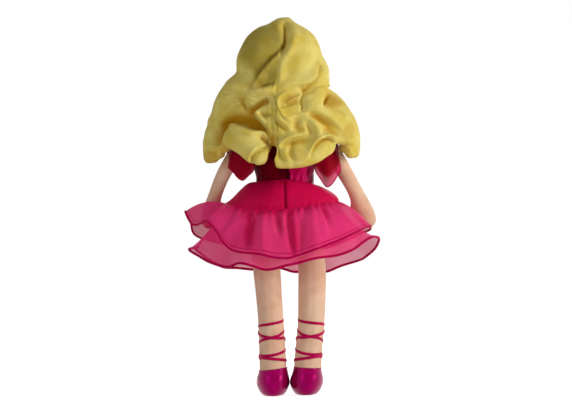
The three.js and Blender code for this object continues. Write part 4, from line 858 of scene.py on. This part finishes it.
leg = {
    "low": 24, "high": 167.5,
    # height, middle x, half width, half depth
    "left": [(27, 17.3, 13.5, 12.2), (46, 17.4, 13.3, 12.0), (74, 18.0, 12.9, 12.2), (101, 19.2, 13.0, 12.4),
             (127, 20.6, 13.7, 12.8), (150, 22.5, 13.0, 12.6), (163, 23.3, 10.5, 10.5), (168, 23.5, 6, 6)],
    "right": [(27, 17.7, 13.8, 12.2), (46, 19.4, 13.6, 12.0), (72, 22.5, 13.5, 12.2), (100, 24.2, 13.8, 12.4),
              (125, 25.1, 13.9, 12.8), (150, 24.2, 13.0, 12.6), (163, 23.5, 10.5, 10.5), (168, 23.5, 6, 6)],
    # height, middle x, middle y, half width, half depth
    "slipper": [(0, -8.5, 6.5, 13.5), (0.5, -8.8, 9.0, 17), (2, -9.2, 11.4, 20), (4.5, -9.4, 13.5, 21.7),
                (8, -9.3, 15.2, 22.8), (12, -8.4, 16.3, 22.2), (17, -6.2, 16.1, 19.8), (22, -3.4, 15.1, 16.4),
                (26, -1.2, 14.3, 14.1), (31, -0.2, 13.6, 13.1)],
    "slipperMiddle": {"left": [(0, 17.7), (13, 17.8), (29, 17.3)],
                      "right": [(0, 15.9), (13, 16.3), (29, 17.6)]},
    "slipperFull": {"left": 1.035, "right": 1.045},
    "slipperRim": {"left": 1.045, "right": 1.015},      # share by which the opening is wider
    "rimDrop": {"left": 2.7, "right": 1.8},             # how much lower the opening is at the outer side
    "vampDrop": 5.5,                                    # how much lower it is over the toes
    "slipperHeight": 29.6, "rimHeight": 29.0,
    "bindingRadius": 0.7, "bindingInset": 0.3,
    "ribbonWidth": 3.0, "ribbonThickness": 0.8,
    "ribbonLift": 0.15, "ribbonLayer": 0.5,     # off the skin, and how much further the outer one lies
    # half turns from the leg's side, height; the outer ribbon runs the other way round
    "innerRibbon": [(-0.5, 34), (0, 41.2), (0.3, 41.8), (0.55, 42.8), (1, 47.0), (2, 54.8), (2.3, 58.4),
                   (2.65, 61.6), (3, 66.2), (4, 71.2), (5, 76.9), (5.4, 79)],
    "outerRibbon": [(-0.5, 32.5), (0, 36.0), (0.5, 38.9), (0.8, 40.0), (1, 40.3), (2, 57.6), (2.35, 59.3),
                    (2.7, 61.4), (3, 64.6), (3.4, 67.5)],
}


def legSizes(word, z):
    rows = leg[word]
    return profileAt(rows, np.clip(z, rows[0][0], rows[-1][0]))


def makeLeg(side, word):
    def place(turn, share):
        z = leg["low"] + (leg["high"] - leg["low"]) * (0.5 + 0.5 * np.cos(share * math.pi))
        sizes = legSizes(word, z)
        cap = np.clip(np.sin(share * math.pi) * 4, 0, 1) ** 0.5
        # one seam up the back of the leg
        seam = 1 - 0.035 * np.exp(-((turn - math.pi / 2) / 0.07) ** 2) * smoothStep(20, 40, z)
        return np.stack([side * sizes[:, 0] + sizes[:, 1] * cap * seam * np.cos(turn),
                         sizes[:, 2] * cap * seam * np.sin(turn), z], axis=-1)

    piece = closedForm(f"leg_{word}", 40, 64, place, skinVelour)
    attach(piece, f"leg_{word}")
    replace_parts(piece, f"leg_skin_{word}", f"leg_filling_{word}")

    middle = leg["slipperMiddle"][word]

    def rimDrop(outward):
        return leg["rimDrop"][word] * (0.5 + 0.5 * outward)

    def shoe(turn, share):
        z = leg["slipperHeight"] / 2 - leg["slipperHeight"] / 2 * np.cos(share * math.pi)
        sizes = profileAt(leg["slipper"], z)
        x0 = side * np.interp(z, [m[0] for m in middle], [m[1] for m in middle])
        cap = np.clip(share * 9, 0, 1) ** 0.6 * np.clip((1 - share) * 9, 0, 1) ** 0.5
        toe = np.clip(-np.sin(turn), 0, 1)
        z = z - rimDrop(side * np.cos(turn)) * smoothStep(18, 29, z)
        narrow = 1 - 0.16 * toe ** 2
        seam = 1 - 0.02 * np.exp(-((turn - math.pi / 2) / 0.06) ** 2)
        # the opening dips at the front, so the vamp stays low
        dip = leg["vampDrop"] * toe ** 2 * smoothStep(18, 30, z)
        rimFull, full = leg["slipperRim"][word], leg["slipperFull"][word]
        full = rimFull + (full - rimFull) * smoothStep(26, 14, z)
        return np.stack([x0 + sizes[:, 1] * full * cap * narrow * seam * np.cos(turn),
                         sizes[:, 0] + sizes[:, 2] * cap * seam * np.sin(turn), z - dip], axis=-1)

    slipper = closedForm(f"slipper_{word}_satin", 48, 40, shoe, slipperSatin)
    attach(slipper, f"leg_{word}")
    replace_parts(slipper, f"slipper_{word}")

    # a rolled binding round the slipper's opening
    turns = np.linspace(0, 2 * math.pi, 61)
    top = leg["rimHeight"]
    sizes = profileAt(leg["slipper"], np.full(len(turns), top))
    x0 = side * np.interp(top, [m[0] for m in middle], [m[1] for m in middle])
    inset = leg["bindingInset"]
    reach = sizes[:, 1] * leg["slipperRim"][word] - inset
    vamp = leg["vampDrop"] * np.clip(-np.sin(turns), 0, 1) ** 2
    rim = np.stack([x0 + reach * np.cos(turns), sizes[:, 0] + (sizes[:, 2] - inset) * np.sin(turns),
                    top - rimDrop(side * np.cos(turns)) - vamp], axis=-1)
    binding = tubeAlong(f"slipper_binding_{word}", rim, leg["bindingRadius"], slipperSatin, sides=8,
                        closed=True)
    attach(binding, f"leg_{word}")

    for layer, label in enumerate(("inner", "outer")):
        path = smoothLine(leg[f"{label}Ribbon"], 220)
        halfTurns, heights = path[:, 0], path[:, 1]
        angle = math.pi * ((1 - halfTurns) if label == "outer" else halfTurns)
        around = legSizes(word, heights)
        reach = leg["ribbonLift"] + layer * leg["ribbonLayer"]
        line = np.stack([side * around[:, 0] + side * (around[:, 1] + reach) * np.cos(angle),
                         (around[:, 2] + reach) * np.sin(angle), heights], axis=-1)
        facing = np.stack([side * np.cos(angle), np.sin(angle), np.zeros(len(angle))], axis=-1)
        band = tubeAlong(f"ribbon_{label}_{word}", line, leg["ribbonWidth"] / 2, ribbonSatin, sides=10,
                         flat=leg["ribbonThickness"] / leg["ribbonWidth"], facing=facing)
        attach(band, f"leg_{word}")
        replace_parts(band, f"ankle_ribbon_{label}_{word}")


for side, word in bothSides:
    makeArm(side, word)
    makeLeg(side, word)
print("doll: body made")


# bodice, closure tape and waist piping

bodice = {
    "low": 216.8, "high": 259.0, "cloth": 1.0,
    "ease": 1.6, "face": 0.8,   # together the distance from the skin to the outer face
    "neckDip": 7.0,             # how much lower the neckline is in front
    "sideDrop": (2.0, 5.4),     # at the left and at the right side
    "shift": -0.4,
    "slitHigh": 232.0, "slitAt": 2.8, "slitGap": 3.4,
}


def waistDrop(across):
    # how much lower the waist seam runs at the sides; across is 1 at the doll's left and -1 at its right
    return np.where(across > 0, bodice["sideDrop"][0], bodice["sideDrop"][1]) * across ** 2


def bodicePart(name, satin, fromTurn, toTurn, columns):
    # degrees from the back centre towards the doll's left
    def place(u, v):
        turn = np.radians(fromTurn + (toTurn - fromTurn) * u)
        offFront = np.abs(np.mod(np.degrees(turn) + 180, 360) - 180) - 180
        neckline = bodice["neckDip"] * np.exp(-(offFront / 40) ** 2)
        low = bodice["low"] - waistDrop(np.sin(turn))
        z = low + (bodice["high"] - neckline - low) * (1 - v)
        sizes = profileAt(body["torso"], z)
        creases = 0.35 * np.sin(turn * 23 + z * 0.25) * np.exp(-((z - 220) / 7) ** 2)
        creases += 0.2 * np.sin(turn * 9 + z * 0.5)
        x = bodice["shift"] + (sizes[:, 0] + bodice["ease"] + bodice["face"] + creases) * np.sin(turn)
        y = (sizes[:, 1] + bodice["ease"] + bodice["face"] + creases) * np.cos(turn)
        if "back" in name:
            # the two back edges lie slitAt to the right, stand out a little, and part below slitHigh
            side = 1 if toTurn < 180 else -1
            near = np.exp(-(np.abs(np.sin(turn)) / 0.16) ** 2)
            apart = bodice["slitGap"] / 2 * smoothStep(bodice["slitHigh"], bodice["slitHigh"] - 5, z)
            x = x + near * (side * apart - bodice["slitAt"])
            y = y + near * 0.5
        return np.stack([x, y, z], axis=-1)

    piece = clothGrid(name, columns, 36, place, satin, cut=(abs(toTurn - fromTurn) / 360 * 0.158, 0.044))
    thicken(piece, bodice["cloth"])
    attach(piece, "torso")
    return piece


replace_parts(bodicePart("bodice_front_satin", bodiceSatin, 90.4, 269.6, 60), "bodice_front")
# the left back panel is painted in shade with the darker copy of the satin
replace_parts(bodicePart("bodice_back_left_satin", shadedSatin, 0.5, 89.6, 40), "bodice_back_left")
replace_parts(bodicePart("bodice_back_right_satin", bodiceSatin, 270.4, 359.5, 40), "bodice_back_right")

tape = {"middle": -4.0, "halfWidth": 5.0, "low": 218.0, "high": 256.0, "thickness": 0.6, "reach": 0.6}


def tapePlace(u, v):
    z = tape["low"] + (tape["high"] - tape["low"]) * v
    x = tape["middle"] + tape["halfWidth"] * (2 * u - 1)
    sizes = profileAt(body["torso"], z)
    y = (sizes[:, 1] + tape["reach"]) * np.sqrt(np.clip(1 - (x / sizes[:, 0]) ** 2, 0, 1))
    return np.stack([x, y, z], axis=-1)


def tapeMaterial():
    # Hook and loop tape of brushed nylon: a dull matted face of tiny loops. Its red is painted dark, as shade
    # in the slit where it shows.
    material, tree = newMaterial("loop tape")
    place = addNode(tree, "TexCoord").outputs["Object"]
    loops = addNode(tree, "TexVoronoi", {"Scale": 900.0}, {"Vector": place})
    colour = addNode(tree, "Mix", {"data_type": "RGBA", 6: linear("#4E0012"), 7: linear("#6C001E")},
                     {0: loops.outputs["Distance"]})
    bump = addNode(tree, "Bump", {"Strength": 0.6, "Distance": 0.0006}, {"Height": loops.outputs["Distance"]})
    shader = addNode(tree, "BsdfPrincipled", {"Roughness": 0.9, "Specular IOR Level": 0.05},
                     {"Base Color": colour.outputs[2], "Normal": bump.outputs["Normal"]})
    addNode(tree, "OutputMaterial", links={"Surface": shader.outputs["BSDF"]})
    return material


tapePiece = clothGrid("closure_tape", 8, 24, tapePlace, tapeMaterial(), cut=(0.01, 0.038))
thicken(tapePiece, tape["thickness"])
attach(tapePiece, "torso")
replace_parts(tapePiece, "back_closure_tape")

waistSeam = {"height": 217.6, "reach": 3.2, "radius": 1.1}      # reach is from the skin
waist = profileAt(body["torso"], np.array([217.5]))[0]
turns = np.linspace(0, 2 * math.pi, 97)
pipingLine = np.stack([(waist[0] + waistSeam["reach"]) * np.cos(turns),
                       (waist[1] + waistSeam["reach"]) * np.sin(turns),
                       waistSeam["height"] - waistDrop(np.cos(turns))], axis=-1)
piping = tubeAlong("waist_seam", pipingLine, waistSeam["radius"], bodiceSatin, sides=10, closed=True)
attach(piping, "torso")
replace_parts(piping, "waist_piping")


# skirt: a yoke and two organza ruffles, with rolled hems

skirt = {
    # degrees from the back centre towards the doll's left, then x, y, z
    "seam": [(0, -0.5, 35, 189.0), (20, 20, 33.5, 188.6), (45, 40, 25.5, 190.6), (62, 51.5, 17.5, 193.6),
             (78, 58, 8, 195.7), (90, 59.8, 0, 196.4), (135, 41, -25, 193), (180, 0, -35, 190),
             (225, -39, -25, 191), (270, -53.4, 0, 194.4), (285, -51.8, 9, 194.6), (305, -45, 20, 194.8),
             (325, -32, 28, 193.6), (340, -18, 33, 191.2)],
    "upperHem": [(0, -0.3, 57, 139.7), (12, 14, 57, 141.2), (24, 28, 56, 144.8), (34, 41, 52.5, 146.4),
                 (44, 52, 47, 148.6), (50, 58, 43, 152.2), (55, 63.6, 39, 158.6), (59, 68.2, 35, 166.8),
                 (63, 72.6, 31, 172.8), (67, 77.6, 25, 178.8), (70, 81.5, 20, 179.0), (74, 86.2, 14, 176.6),
                 (78, 90.6, 9, 175.6), (81, 94.6, 6, 177.6), (84, 98.4, 2.5, 183.8), (87, 101, -1, 189.8),
                 (91, 97.4, -6, 183.4), (95, 93.6, -11, 176.2), (100, 91, -16, 169.4),
                 (105, 88.6, -21, 165), (111, 84.5, -28, 162), (118, 78, -34, 160.5), (128, 64, -41, 156),
                 (142, 44, -50, 151.5), (160, 22, -55, 148), (180, 0, -57, 146), (200, -20, -55, 147.5),
                 (218, -42, -50, 150), (236, -62, -40, 156), (252, -75, -27, 162.6),
                 (266, -82.4, -12, 165.2), (276, -84.5, 0, 170), (286, -82.5, 14, 169.4),
                 (298, -68, 31, 163.1), (310, -54.4, 43, 156.8), (322, -40.9, 50, 151.9),
                 (334, -27.3, 55, 146.9), (348, -9.7, 57, 142.1)],
    "lowerHem": [(0, 0, 53, 132.3), (8, 13.5, 54, 129.3), (16, 24.2, 54, 129.6), (25, 34.8, 52, 133.0),
                 (34, 47, 48, 135.9), (44, 60.2, 42, 133.2), (56, 73.5, 33, 136.5), (68, 86.7, 20, 143.5),
                 (80, 97.0, 5, 151), (90, 89, -12, 154), (102, 88, -22, 150), (120, 70, -38, 135.3),
                 (140, 44, -49, 130.3), (160, 20, -54, 130), (178, 2.6, -55, 129), (192, -12, -55, 126.4),
                 (212, -38.8, -51, 125.8), (224, -53, -46, 130.2), (235, -67.1, -39, 133.6),
                 (245, -78.6, -29, 138.6), (254, -90.6, -18, 147.8), (266, -91.2, -3, 157.4),
                 (278, -86, 12, 158.5), (290, -81.2, 21, 156), (304, -67.5, 33, 147.1),
                 (319, -54, 41, 142.1), (337, -27, 50, 138.2), (350, -9.5, 53, 134.7)],
    "folds": [
        (2.5, 5, [(42.6, 183.8), (52.2, 174.7), (62.0, 162.9)]),
        (-3.8, 4.5, [(33.7, 193), (34.6, 180.9), (37.0, 168.9), (42.1, 152.7)]),
        (2.4, 5, [(22.6, 184), (23.0, 165.8), (20.9, 146.3)]),
        (-2.8, 3.2, [(9.7, 188.5), (8.0, 176.1), (6.7, 163.3)]),
        (1.6, 2.5, [(3.3, 177.9), (1.0, 163.2)]),
        (-3.2, 3, [(-1.9, 193.9), (-2.7, 167.7), (-7.1, 141.5)]),
        (-2.4, 3.5, [(-15.0, 184.1), (-15.1, 163.3), (-13.9, 145.3)]),
        (2.4, 6, [(-27.0, 182.4), (-27.7, 160.3), (-28.7, 146.2)]),
        (-2.6, 3, [(-36.6, 192.2), (-41.1, 182.7), (-44.2, 172.5)]),
        (1.6, 4, [(-35.0, 183.5), (-39.2, 160.0)]),
        (2.0, 8, [(-57.8, 181.5), (-62.7, 163.9)]),
        (0, 2, [(60, 197), (65, 192.5), (71, 187), (76.9, 181.5), (80, 179)], (-2.2, -1.4, 7)),
    ],
    # painted shade along the upper ruffle's dark bands: share, half width, line of x, z
    "paintedShadeBands": [
        (0.75, 5, [(39.6, 185.5), (35.5, 176.9), (38.8, 165.8), (34.9, 153.1)]),
        (0.6, 2.4, [(6.0, 181.7), (5.0, 169.0)]),
        (0.8, 4, [(-5.0, 188.5), (-6.4, 175.7), (-7.5, 161.7), (-8.4, 144.7)]),
        (0.6, 2.6, [(-39.1, 188.7), (-43.0, 178.8)]),
    ],
    # degrees, then how far out and down the bend of each ruffle lies, and how much it stands up
    "upperKnee": [(0, 0.6, 0.3, 0), (60, 0.6, 0.3, 1), (80, 0.5, 0.1, 9.5), (96, 0.55, 0.2, 4),
                  (120, 0.6, 0.3, 0), (180, 0.6, 0.3, 0), (240, 0.6, 0.3, 0), (300, 0.6, 0.3, 0)],
    "lowerKnee": [(0, 0.55, 0.35, 0), (50, 0.5, 0.45, 0), (75, 0.38, 0.62, 0), (95, 0.45, 0.5, 0),
                  (130, 0.5, 0.4, 0), (180, 0.5, 0.4, 0), (240, 0.4, 0.66, 0), (268, 0.38, 0.76, 0),
                  (290, 0.45, 0.6, 0), (320, 0.5, 0.4, 0)],
    "ruffleFlat": {"upper": (0.5, 0.05), "lower": (0.52, 0.06)},
    "yokeTop": 218.2, "yokeReach": 2.6,     # its upper edge: height, and how far off the skin
    "yokeColumns": 360, "yokeRows": 24,
    "ruffleColumns": 480, "ruffleRows": 48,
    "hemRadius": {"upper": 1.1, "lower": 1.3},
    "inset": {"upper": 0.0, "lower": 1.6},      # how far inside the yoke's edge each ruffle is sewn on
}


def yokePlace(u, v):
    turn = u * 360
    seam = atDepth(roundCurve(skirt["seam"], turn))
    angle = np.radians(turn)
    reach = skirt["yokeReach"]
    top = np.stack([(waist[0] + reach) * np.sin(angle), (waist[1] + reach) * np.cos(angle),
                    skirt["yokeTop"] - waistDrop(np.sin(angle))], axis=-1)
    # the yoke leaves the waist almost level, then rounds down over the hips by two bends,
    # sooner at the right and later at the left
    side, weight = np.sin(angle), np.sin(angle) ** 2
    toLeft, toRight = weight * (side > 0), weight * (side <= 0)
    firstOut, firstDown = 0.43 - 0.10 * toLeft, 0.08 - 0.34 * toLeft + 0.04 * toRight
    secondOut, secondDown = 0.76 - 0.10 * toLeft + 0.28 * toRight, 0.41 + 0.38 * toLeft + 0.22 * toRight
    first = top + (seam - top) * np.stack([firstOut, firstOut, firstDown], axis=-1)
    second = top + (seam - top) * np.stack([secondOut, secondOut, secondDown], axis=-1)
    # the last row is the seam allowance, hidden under the ruffle
    rows = skirt["yokeRows"]
    share = np.minimum(v * rows / (rows - 1), 1)[:, None]
    allowance = np.clip(v * rows - (rows - 1), 0, 1)
    form = (top * (1 - share) ** 3 + first * 3 * share * (1 - share) ** 2
            + second * 3 * share ** 2 * (1 - share) + seam * share ** 3)
    gather = np.sin(angle * 31) * 0.7 + np.sin(angle * 19 + 1.3) * 0.5
    gather = gather * np.exp(-((v - 0.05) / 0.25) ** 2)
    puckers = np.sin(angle * 47) * 0.35 * np.exp(-((1 - v) / 0.12) ** 2)
    out = outwardAt(angle)
    behind = form[:, 1] > 0
    placket = -1.6 * np.exp(-((form[:, 0] - 0.2) / 1.5) ** 2) * behind
    # painted shade: darker along the placket slit, and on the doll's left side, away from the light
    shaded = 0.6 * smoothStep(0, 22, form[:, 0]) * smoothStep(0.85, 0.1, v)
    skirt["yokeTone"] = np.clip(0.9 * np.exp(-((form[:, 0] + 0.2) / 1.7) ** 2) * behind + shaded, 0, 1)
    lift = gather + puckers + placket - 1.0 * allowance
    return form + out * lift[:, None] - np.array([0, 0, 3.0]) * allowance[:, None]


def rufflePlace(which):
    hem = skirt[f"{which}Hem"]
    inner = skirt["inset"][which]

    def place(u, v):
        turn = u * 360
        angle = np.radians(turn)
        seam = atDepth(roundCurve(skirt["seam"], turn))
        low = atDepth(roundCurve(hem, turn))
        out = outwardAt(angle)
        seam = seam - out * inner + np.array([0, 0, -0.6 * inner])
        bend = roundCurve(skirt[f"{which}Knee"], turn)
        knee = seam + (low - seam) * bend[:, [0, 0, 1]] + np.array([0, 0, 1.0]) * bend[:, 2:]
        form = bentCloth(seam, knee, low, v)
        gathers = np.sin(angle * 37) * 0.8 + np.sin(angle * 23 + 0.7) * 0.8 + np.sin(angle * 59) * 0.3
        gathers = gathers * np.exp(-(v / 0.3) ** 2) * (0.25 + 0.75 * smoothStep(0.0, 0.04, v))
        frontSide = smoothStep(8, -8, form[:, 1])
        waves = np.sin(angle * 11 + 0.6) * 2.6 + np.sin(angle * 5) * 1.2
        waves = waves * smoothStep(0.15, 0.9, v) * frontSide
        ease = easeAt(form[:, 1])
        seenX, seenZ = form[:, 0] / ease, cameraHeight + (form[:, 2] - cameraHeight) / ease
        if which == "upper":
            drawn = foldLift(seenX, seenZ, skirt["folds"])
        else:
            drawn = np.sin(angle * 13 + 1) * 1.3 * v
        lift = gathers + waves + drawn * (1 - frontSide) * smoothStep(0.0, 0.25, v)
        puckered = (0.8 + 0.2 * np.sin(angle * 41)) * np.exp(-(v / 0.16) ** 2)
        # painted shade in the valleys of the folds, and darker along the gathered top edge
        tone = np.clip(-lift / 5.5, 0, 1) * 0.6 + 1.1 * puckered
        if which == "upper":
            # painted shade: deeper along the dark bands, and at the side of the flare
            tone = tone + foldLift(seenX, seenZ, skirt["paintedShadeBands"]) * (1 - frontSide)
            tone = tone + 0.3 * smoothStep(88, 93, turn) * smoothStep(130, 110, turn)
        skirt[f"{which}Tone"] = np.clip(tone, 0, 1)
        return form + (out + np.array([0, 0, 0.35])) * lift[:, None]

    return place


def lowerEdge(place, columns):
    return place(np.linspace(0, 1, columns + 1), np.ones(columns + 1))


def bendWithSeat(piece):
    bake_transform(piece)


yokeOrganza = organzaMaterial("yoke organza", "#D6084E", "#80001E", 0.96, glow=0.04, sheen=0.0)
yokePiece = clothGrid("yoke", skirt["yokeColumns"], skirt["yokeRows"], yokePlace, yokeOrganza,
                      cut=(0.31, 0.036), values=lambda down: {"tone": skirt["yokeTone"]})
bendWithSeat(yokePiece)
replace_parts(yokePiece, "skirt_yoke")

for which, node, organza in (("upper", "upper_ruffle", upperOrganza),
                             ("lower", "lower_ruffle", lowerOrganza)):
    flatSize = skirt["ruffleFlat"][which]
    place = rufflePlace(which)
    ruffle = clothGrid(f"{which}_ruffle_organza", skirt["ruffleColumns"], skirt["ruffleRows"], place, organza,
                       cut=flatSize, values=lambda down: {"tone": skirt[f"{which}Tone"]})
    hemPiece = tubeAlong(f"{which}_rolled_hem", lowerEdge(place, skirt["ruffleColumns"]),
                         skirt["hemRadius"][which], hemThread, sides=10, closed=True)
    for piece in (ruffle, hemPiece):
        bendWithSeat(piece)
    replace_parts(ruffle, node)
    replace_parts(hemPiece, f"{which}_hem_thread")
print("doll: skirt made")


# sleeves: one flared petal ruffle round each shoulder

sleeve = {
    # degrees round the arm from the back over the outer side, then x, y, z
    "top": [(0, 35, 13.5, 257), (45, 42, 10, 262), (90, 46, 0, 265), (135, 42, -10, 262), (180, 35, -13, 257),
            (225, 31, -11, 251), (270, 30.5, 0, 246), (315, 31, 12, 251)],
    "tipPaintedLight": {"left": 0.1, "right": 1.0},       # painted light: how much lighter each sleeve's tip is painted; above it the sleeve is painted in shade
    "columns": 160, "rows": 24, "hemRadius": 0.6,
    "leftHem": [(0, 42.2, 17, 219), (30, 51, 14, 226.5), (55, 55.5, 8, 233), (90, 58, -3, 239),
                (135, 54, -17, 231), (180, 44, -23, 222), (225, 35, -18, 230), (270, 31.5, -2, 239),
                (310, 29.5, 13, 231), (338, 35.5, 17, 224)],
    "rightHem": [(0, 42.2, 17, 210), (24, 51.1, 14, 217), (45, 55.4, 9, 224.6), (90, 58.5, -3, 236),
                 (135, 55, -17, 229), (180, 44, -23, 221), (225, 35, -18, 229), (270, 32, -2, 236.8),
                 (310, 30.3, 13, 229.6), (336, 34.5, 16, 221)],
}


def sleevePlace(side, hem):
    def place(u, v):
        turn = u * 360
        angle = np.radians(turn)
        top = roundCurve(sleeve["top"], turn)
        low = roundCurve(hem, turn)
        out = outwardAt(angle)
        knee = top + (low - top) * 0.5 + out * 5 + np.array([0, 0, 5.0])
        form = bentCloth(top, knee, low, v)
        ripple = np.sin(angle * 9) * 1.0 * v + np.sin(angle * 21) * 0.5 * np.exp(-(v / 0.3) ** 2)
        form = form + out * ripple[:, None]
        form[:, 0] *= side
        return form

    return place


for side, word in bothSides:
    place = sleevePlace(side, sleeve[f"{word}Hem"])
    # tone: painted shade over each sleeve, lifted at the tip by the painted light
    flounce = clothGrid(f"sleeve_flounce_{word}", sleeve["columns"], sleeve["rows"], place, sleeveOrganza,
                        cut=(0.13, 0.026),
                        values=lambda down: {"tone": 1 - sleeve["tipPaintedLight"][word] * smoothStep(0.7, 1.0, down)})
    trim = tubeAlong(f"sleeve_hem_{word}", lowerEdge(place, sleeve["columns"]), sleeve["hemRadius"],
                     hemThread, sides=6, closed=True)
    for piece in (flounce, trim):
        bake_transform(piece)
    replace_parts(flounce, f"sleeve_{word}")
print("doll: sleeves made")


# camera, light, floor

def seenPlainly(tree):
    # 1 for straight sight lines, gloss and see-through rays, which meet plain white; 0 for rays of light
    path = addNode(tree, "LightPath")
    seen = addNode(tree, "Math", {"operation": "MAXIMUM"},
                   {0: path.outputs["Is Camera Ray"], 1: path.outputs["Is Glossy Ray"]})
    seen = addNode(tree, "Math", {"operation": "MAXIMUM"},
                   {0: seen.outputs[0], 1: path.outputs["Is Transmission Ray"]})
    return seen.outputs[0]


# metres: distance of the lens, width that it shows there, the spot it looks at; roll in degrees
view = {"away": 1.8, "shows": 0.572, "aim": (-0.00072, 0.02, 0.19197), "roll": 1.7}
camera = bpy.data.objects.new("camera", bpy.data.cameras.new("camera"))
bpy.context.scene.collection.objects.link(camera)
camera.data.lens = camera.data.sensor_width * view["away"] / view["shows"]
camera.data.clip_start, camera.data.clip_end = 0.05, 30
roll = math.radians(view["roll"])
facingBack = Matrix(((-math.cos(roll), -math.sin(roll), 0), (0, 0, 1), (-math.sin(roll), math.cos(roll), 0)))
aimX, aimY, aimZ = view["aim"]
camera.matrix_world = Matrix.Translation((aimX, aimY + view["away"], aimZ)) @ facingBack.to_4x4()
bpy.context.scene.camera = camera

# name, place, aim and size in metres, watts, colour
lamps = [
    ("key lamp", (-1.25, 0.62, 0.55), (0, 0, 0.2), (0.45, 1.15), 14.0, "#FFFAF2"),
    ("fill lamp", (0.9, 1.2, 0.5), (0, 0, 0.2), (1.0, 1.0), 4.6, "#FFFFFF"),
    ("front lamp", (-0.4, -1.2, 0.9), (0, 0, 0.22), (0.8, 0.8), 6.0, "#FFFFFF"),
]
for name, place, aim, size, watts, colour in lamps:
    lamp = bpy.data.lights.new(name, "AREA")
    lamp.shape = "RECTANGLE"
    lamp.energy = watts
    lamp.size, lamp.size_y = size
    lamp.color = linear(colour)[:3]
    holder = bpy.data.objects.new(name, lamp)
    bpy.context.scene.collection.objects.link(holder)
    holder.location = place
    holder.rotation_euler = (Vector(aim) - Vector(place)).to_track_quat("-Z", "Y").to_euler()

world = bpy.data.worlds.new("studio")
bpy.context.scene.world = world
world.use_nodes = True
tree = world.node_tree
tree.nodes.clear()
seen = seenPlainly(tree)
skyLight = 0.2      # how strongly the surroundings light the doll; the camera sees them at full strength
around = addNode(tree, "Background", {"Color": (1, 1, 1, 1), "Strength": skyLight})
behind = addNode(tree, "Background", {"Color": (1, 1, 1, 1), "Strength": 1.0})
both = addNode(tree, "MixShader", links={0: seen, 1: around.outputs[0], 2: behind.outputs[0]})
addNode(tree, "OutputWorld", links={"Surface": both.outputs[0]})


def floorMaterial():
    # Matt white paper: it takes a soft grey shadow and is otherwise as white as the background.
    material, tree = newMaterial("white paper floor")
    seen = seenPlainly(tree)
    grain = addNode(tree, "TexNoise", {"Scale": 400.0, "Detail": 1.0},
                    {"Vector": addNode(tree, "TexCoord").outputs["Object"]})
    tint = addNode(tree, "MapRange", {3: 0.93, 4: 0.96}, {0: grain.outputs["Fac"]})
    paper = addNode(tree, "BsdfDiffuse", links={"Color": tint.outputs[0]})
    strength = addNode(tree, "Math", {"operation": "MULTIPLY", 1: 0.82}, {0: seen})
    glow = addNode(tree, "Emission", {"Color": (1, 1, 1, 1)}, {"Strength": strength.outputs[0]})
    both = addNode(tree, "AddShader", links={0: paper.outputs[0], 1: glow.outputs[0]})
    addNode(tree, "OutputMaterial", links={"Surface": both.outputs[0]})
    return material


floorMesh = bmesh.new()
bmesh.ops.create_grid(floorMesh, x_segments=1, y_segments=1, size=12)
floor = finishPiece(floorMesh, "floor", floorMaterial())

bpy.context.scene.view_settings.view_transform = "Standard"

print("doll: scene ready")
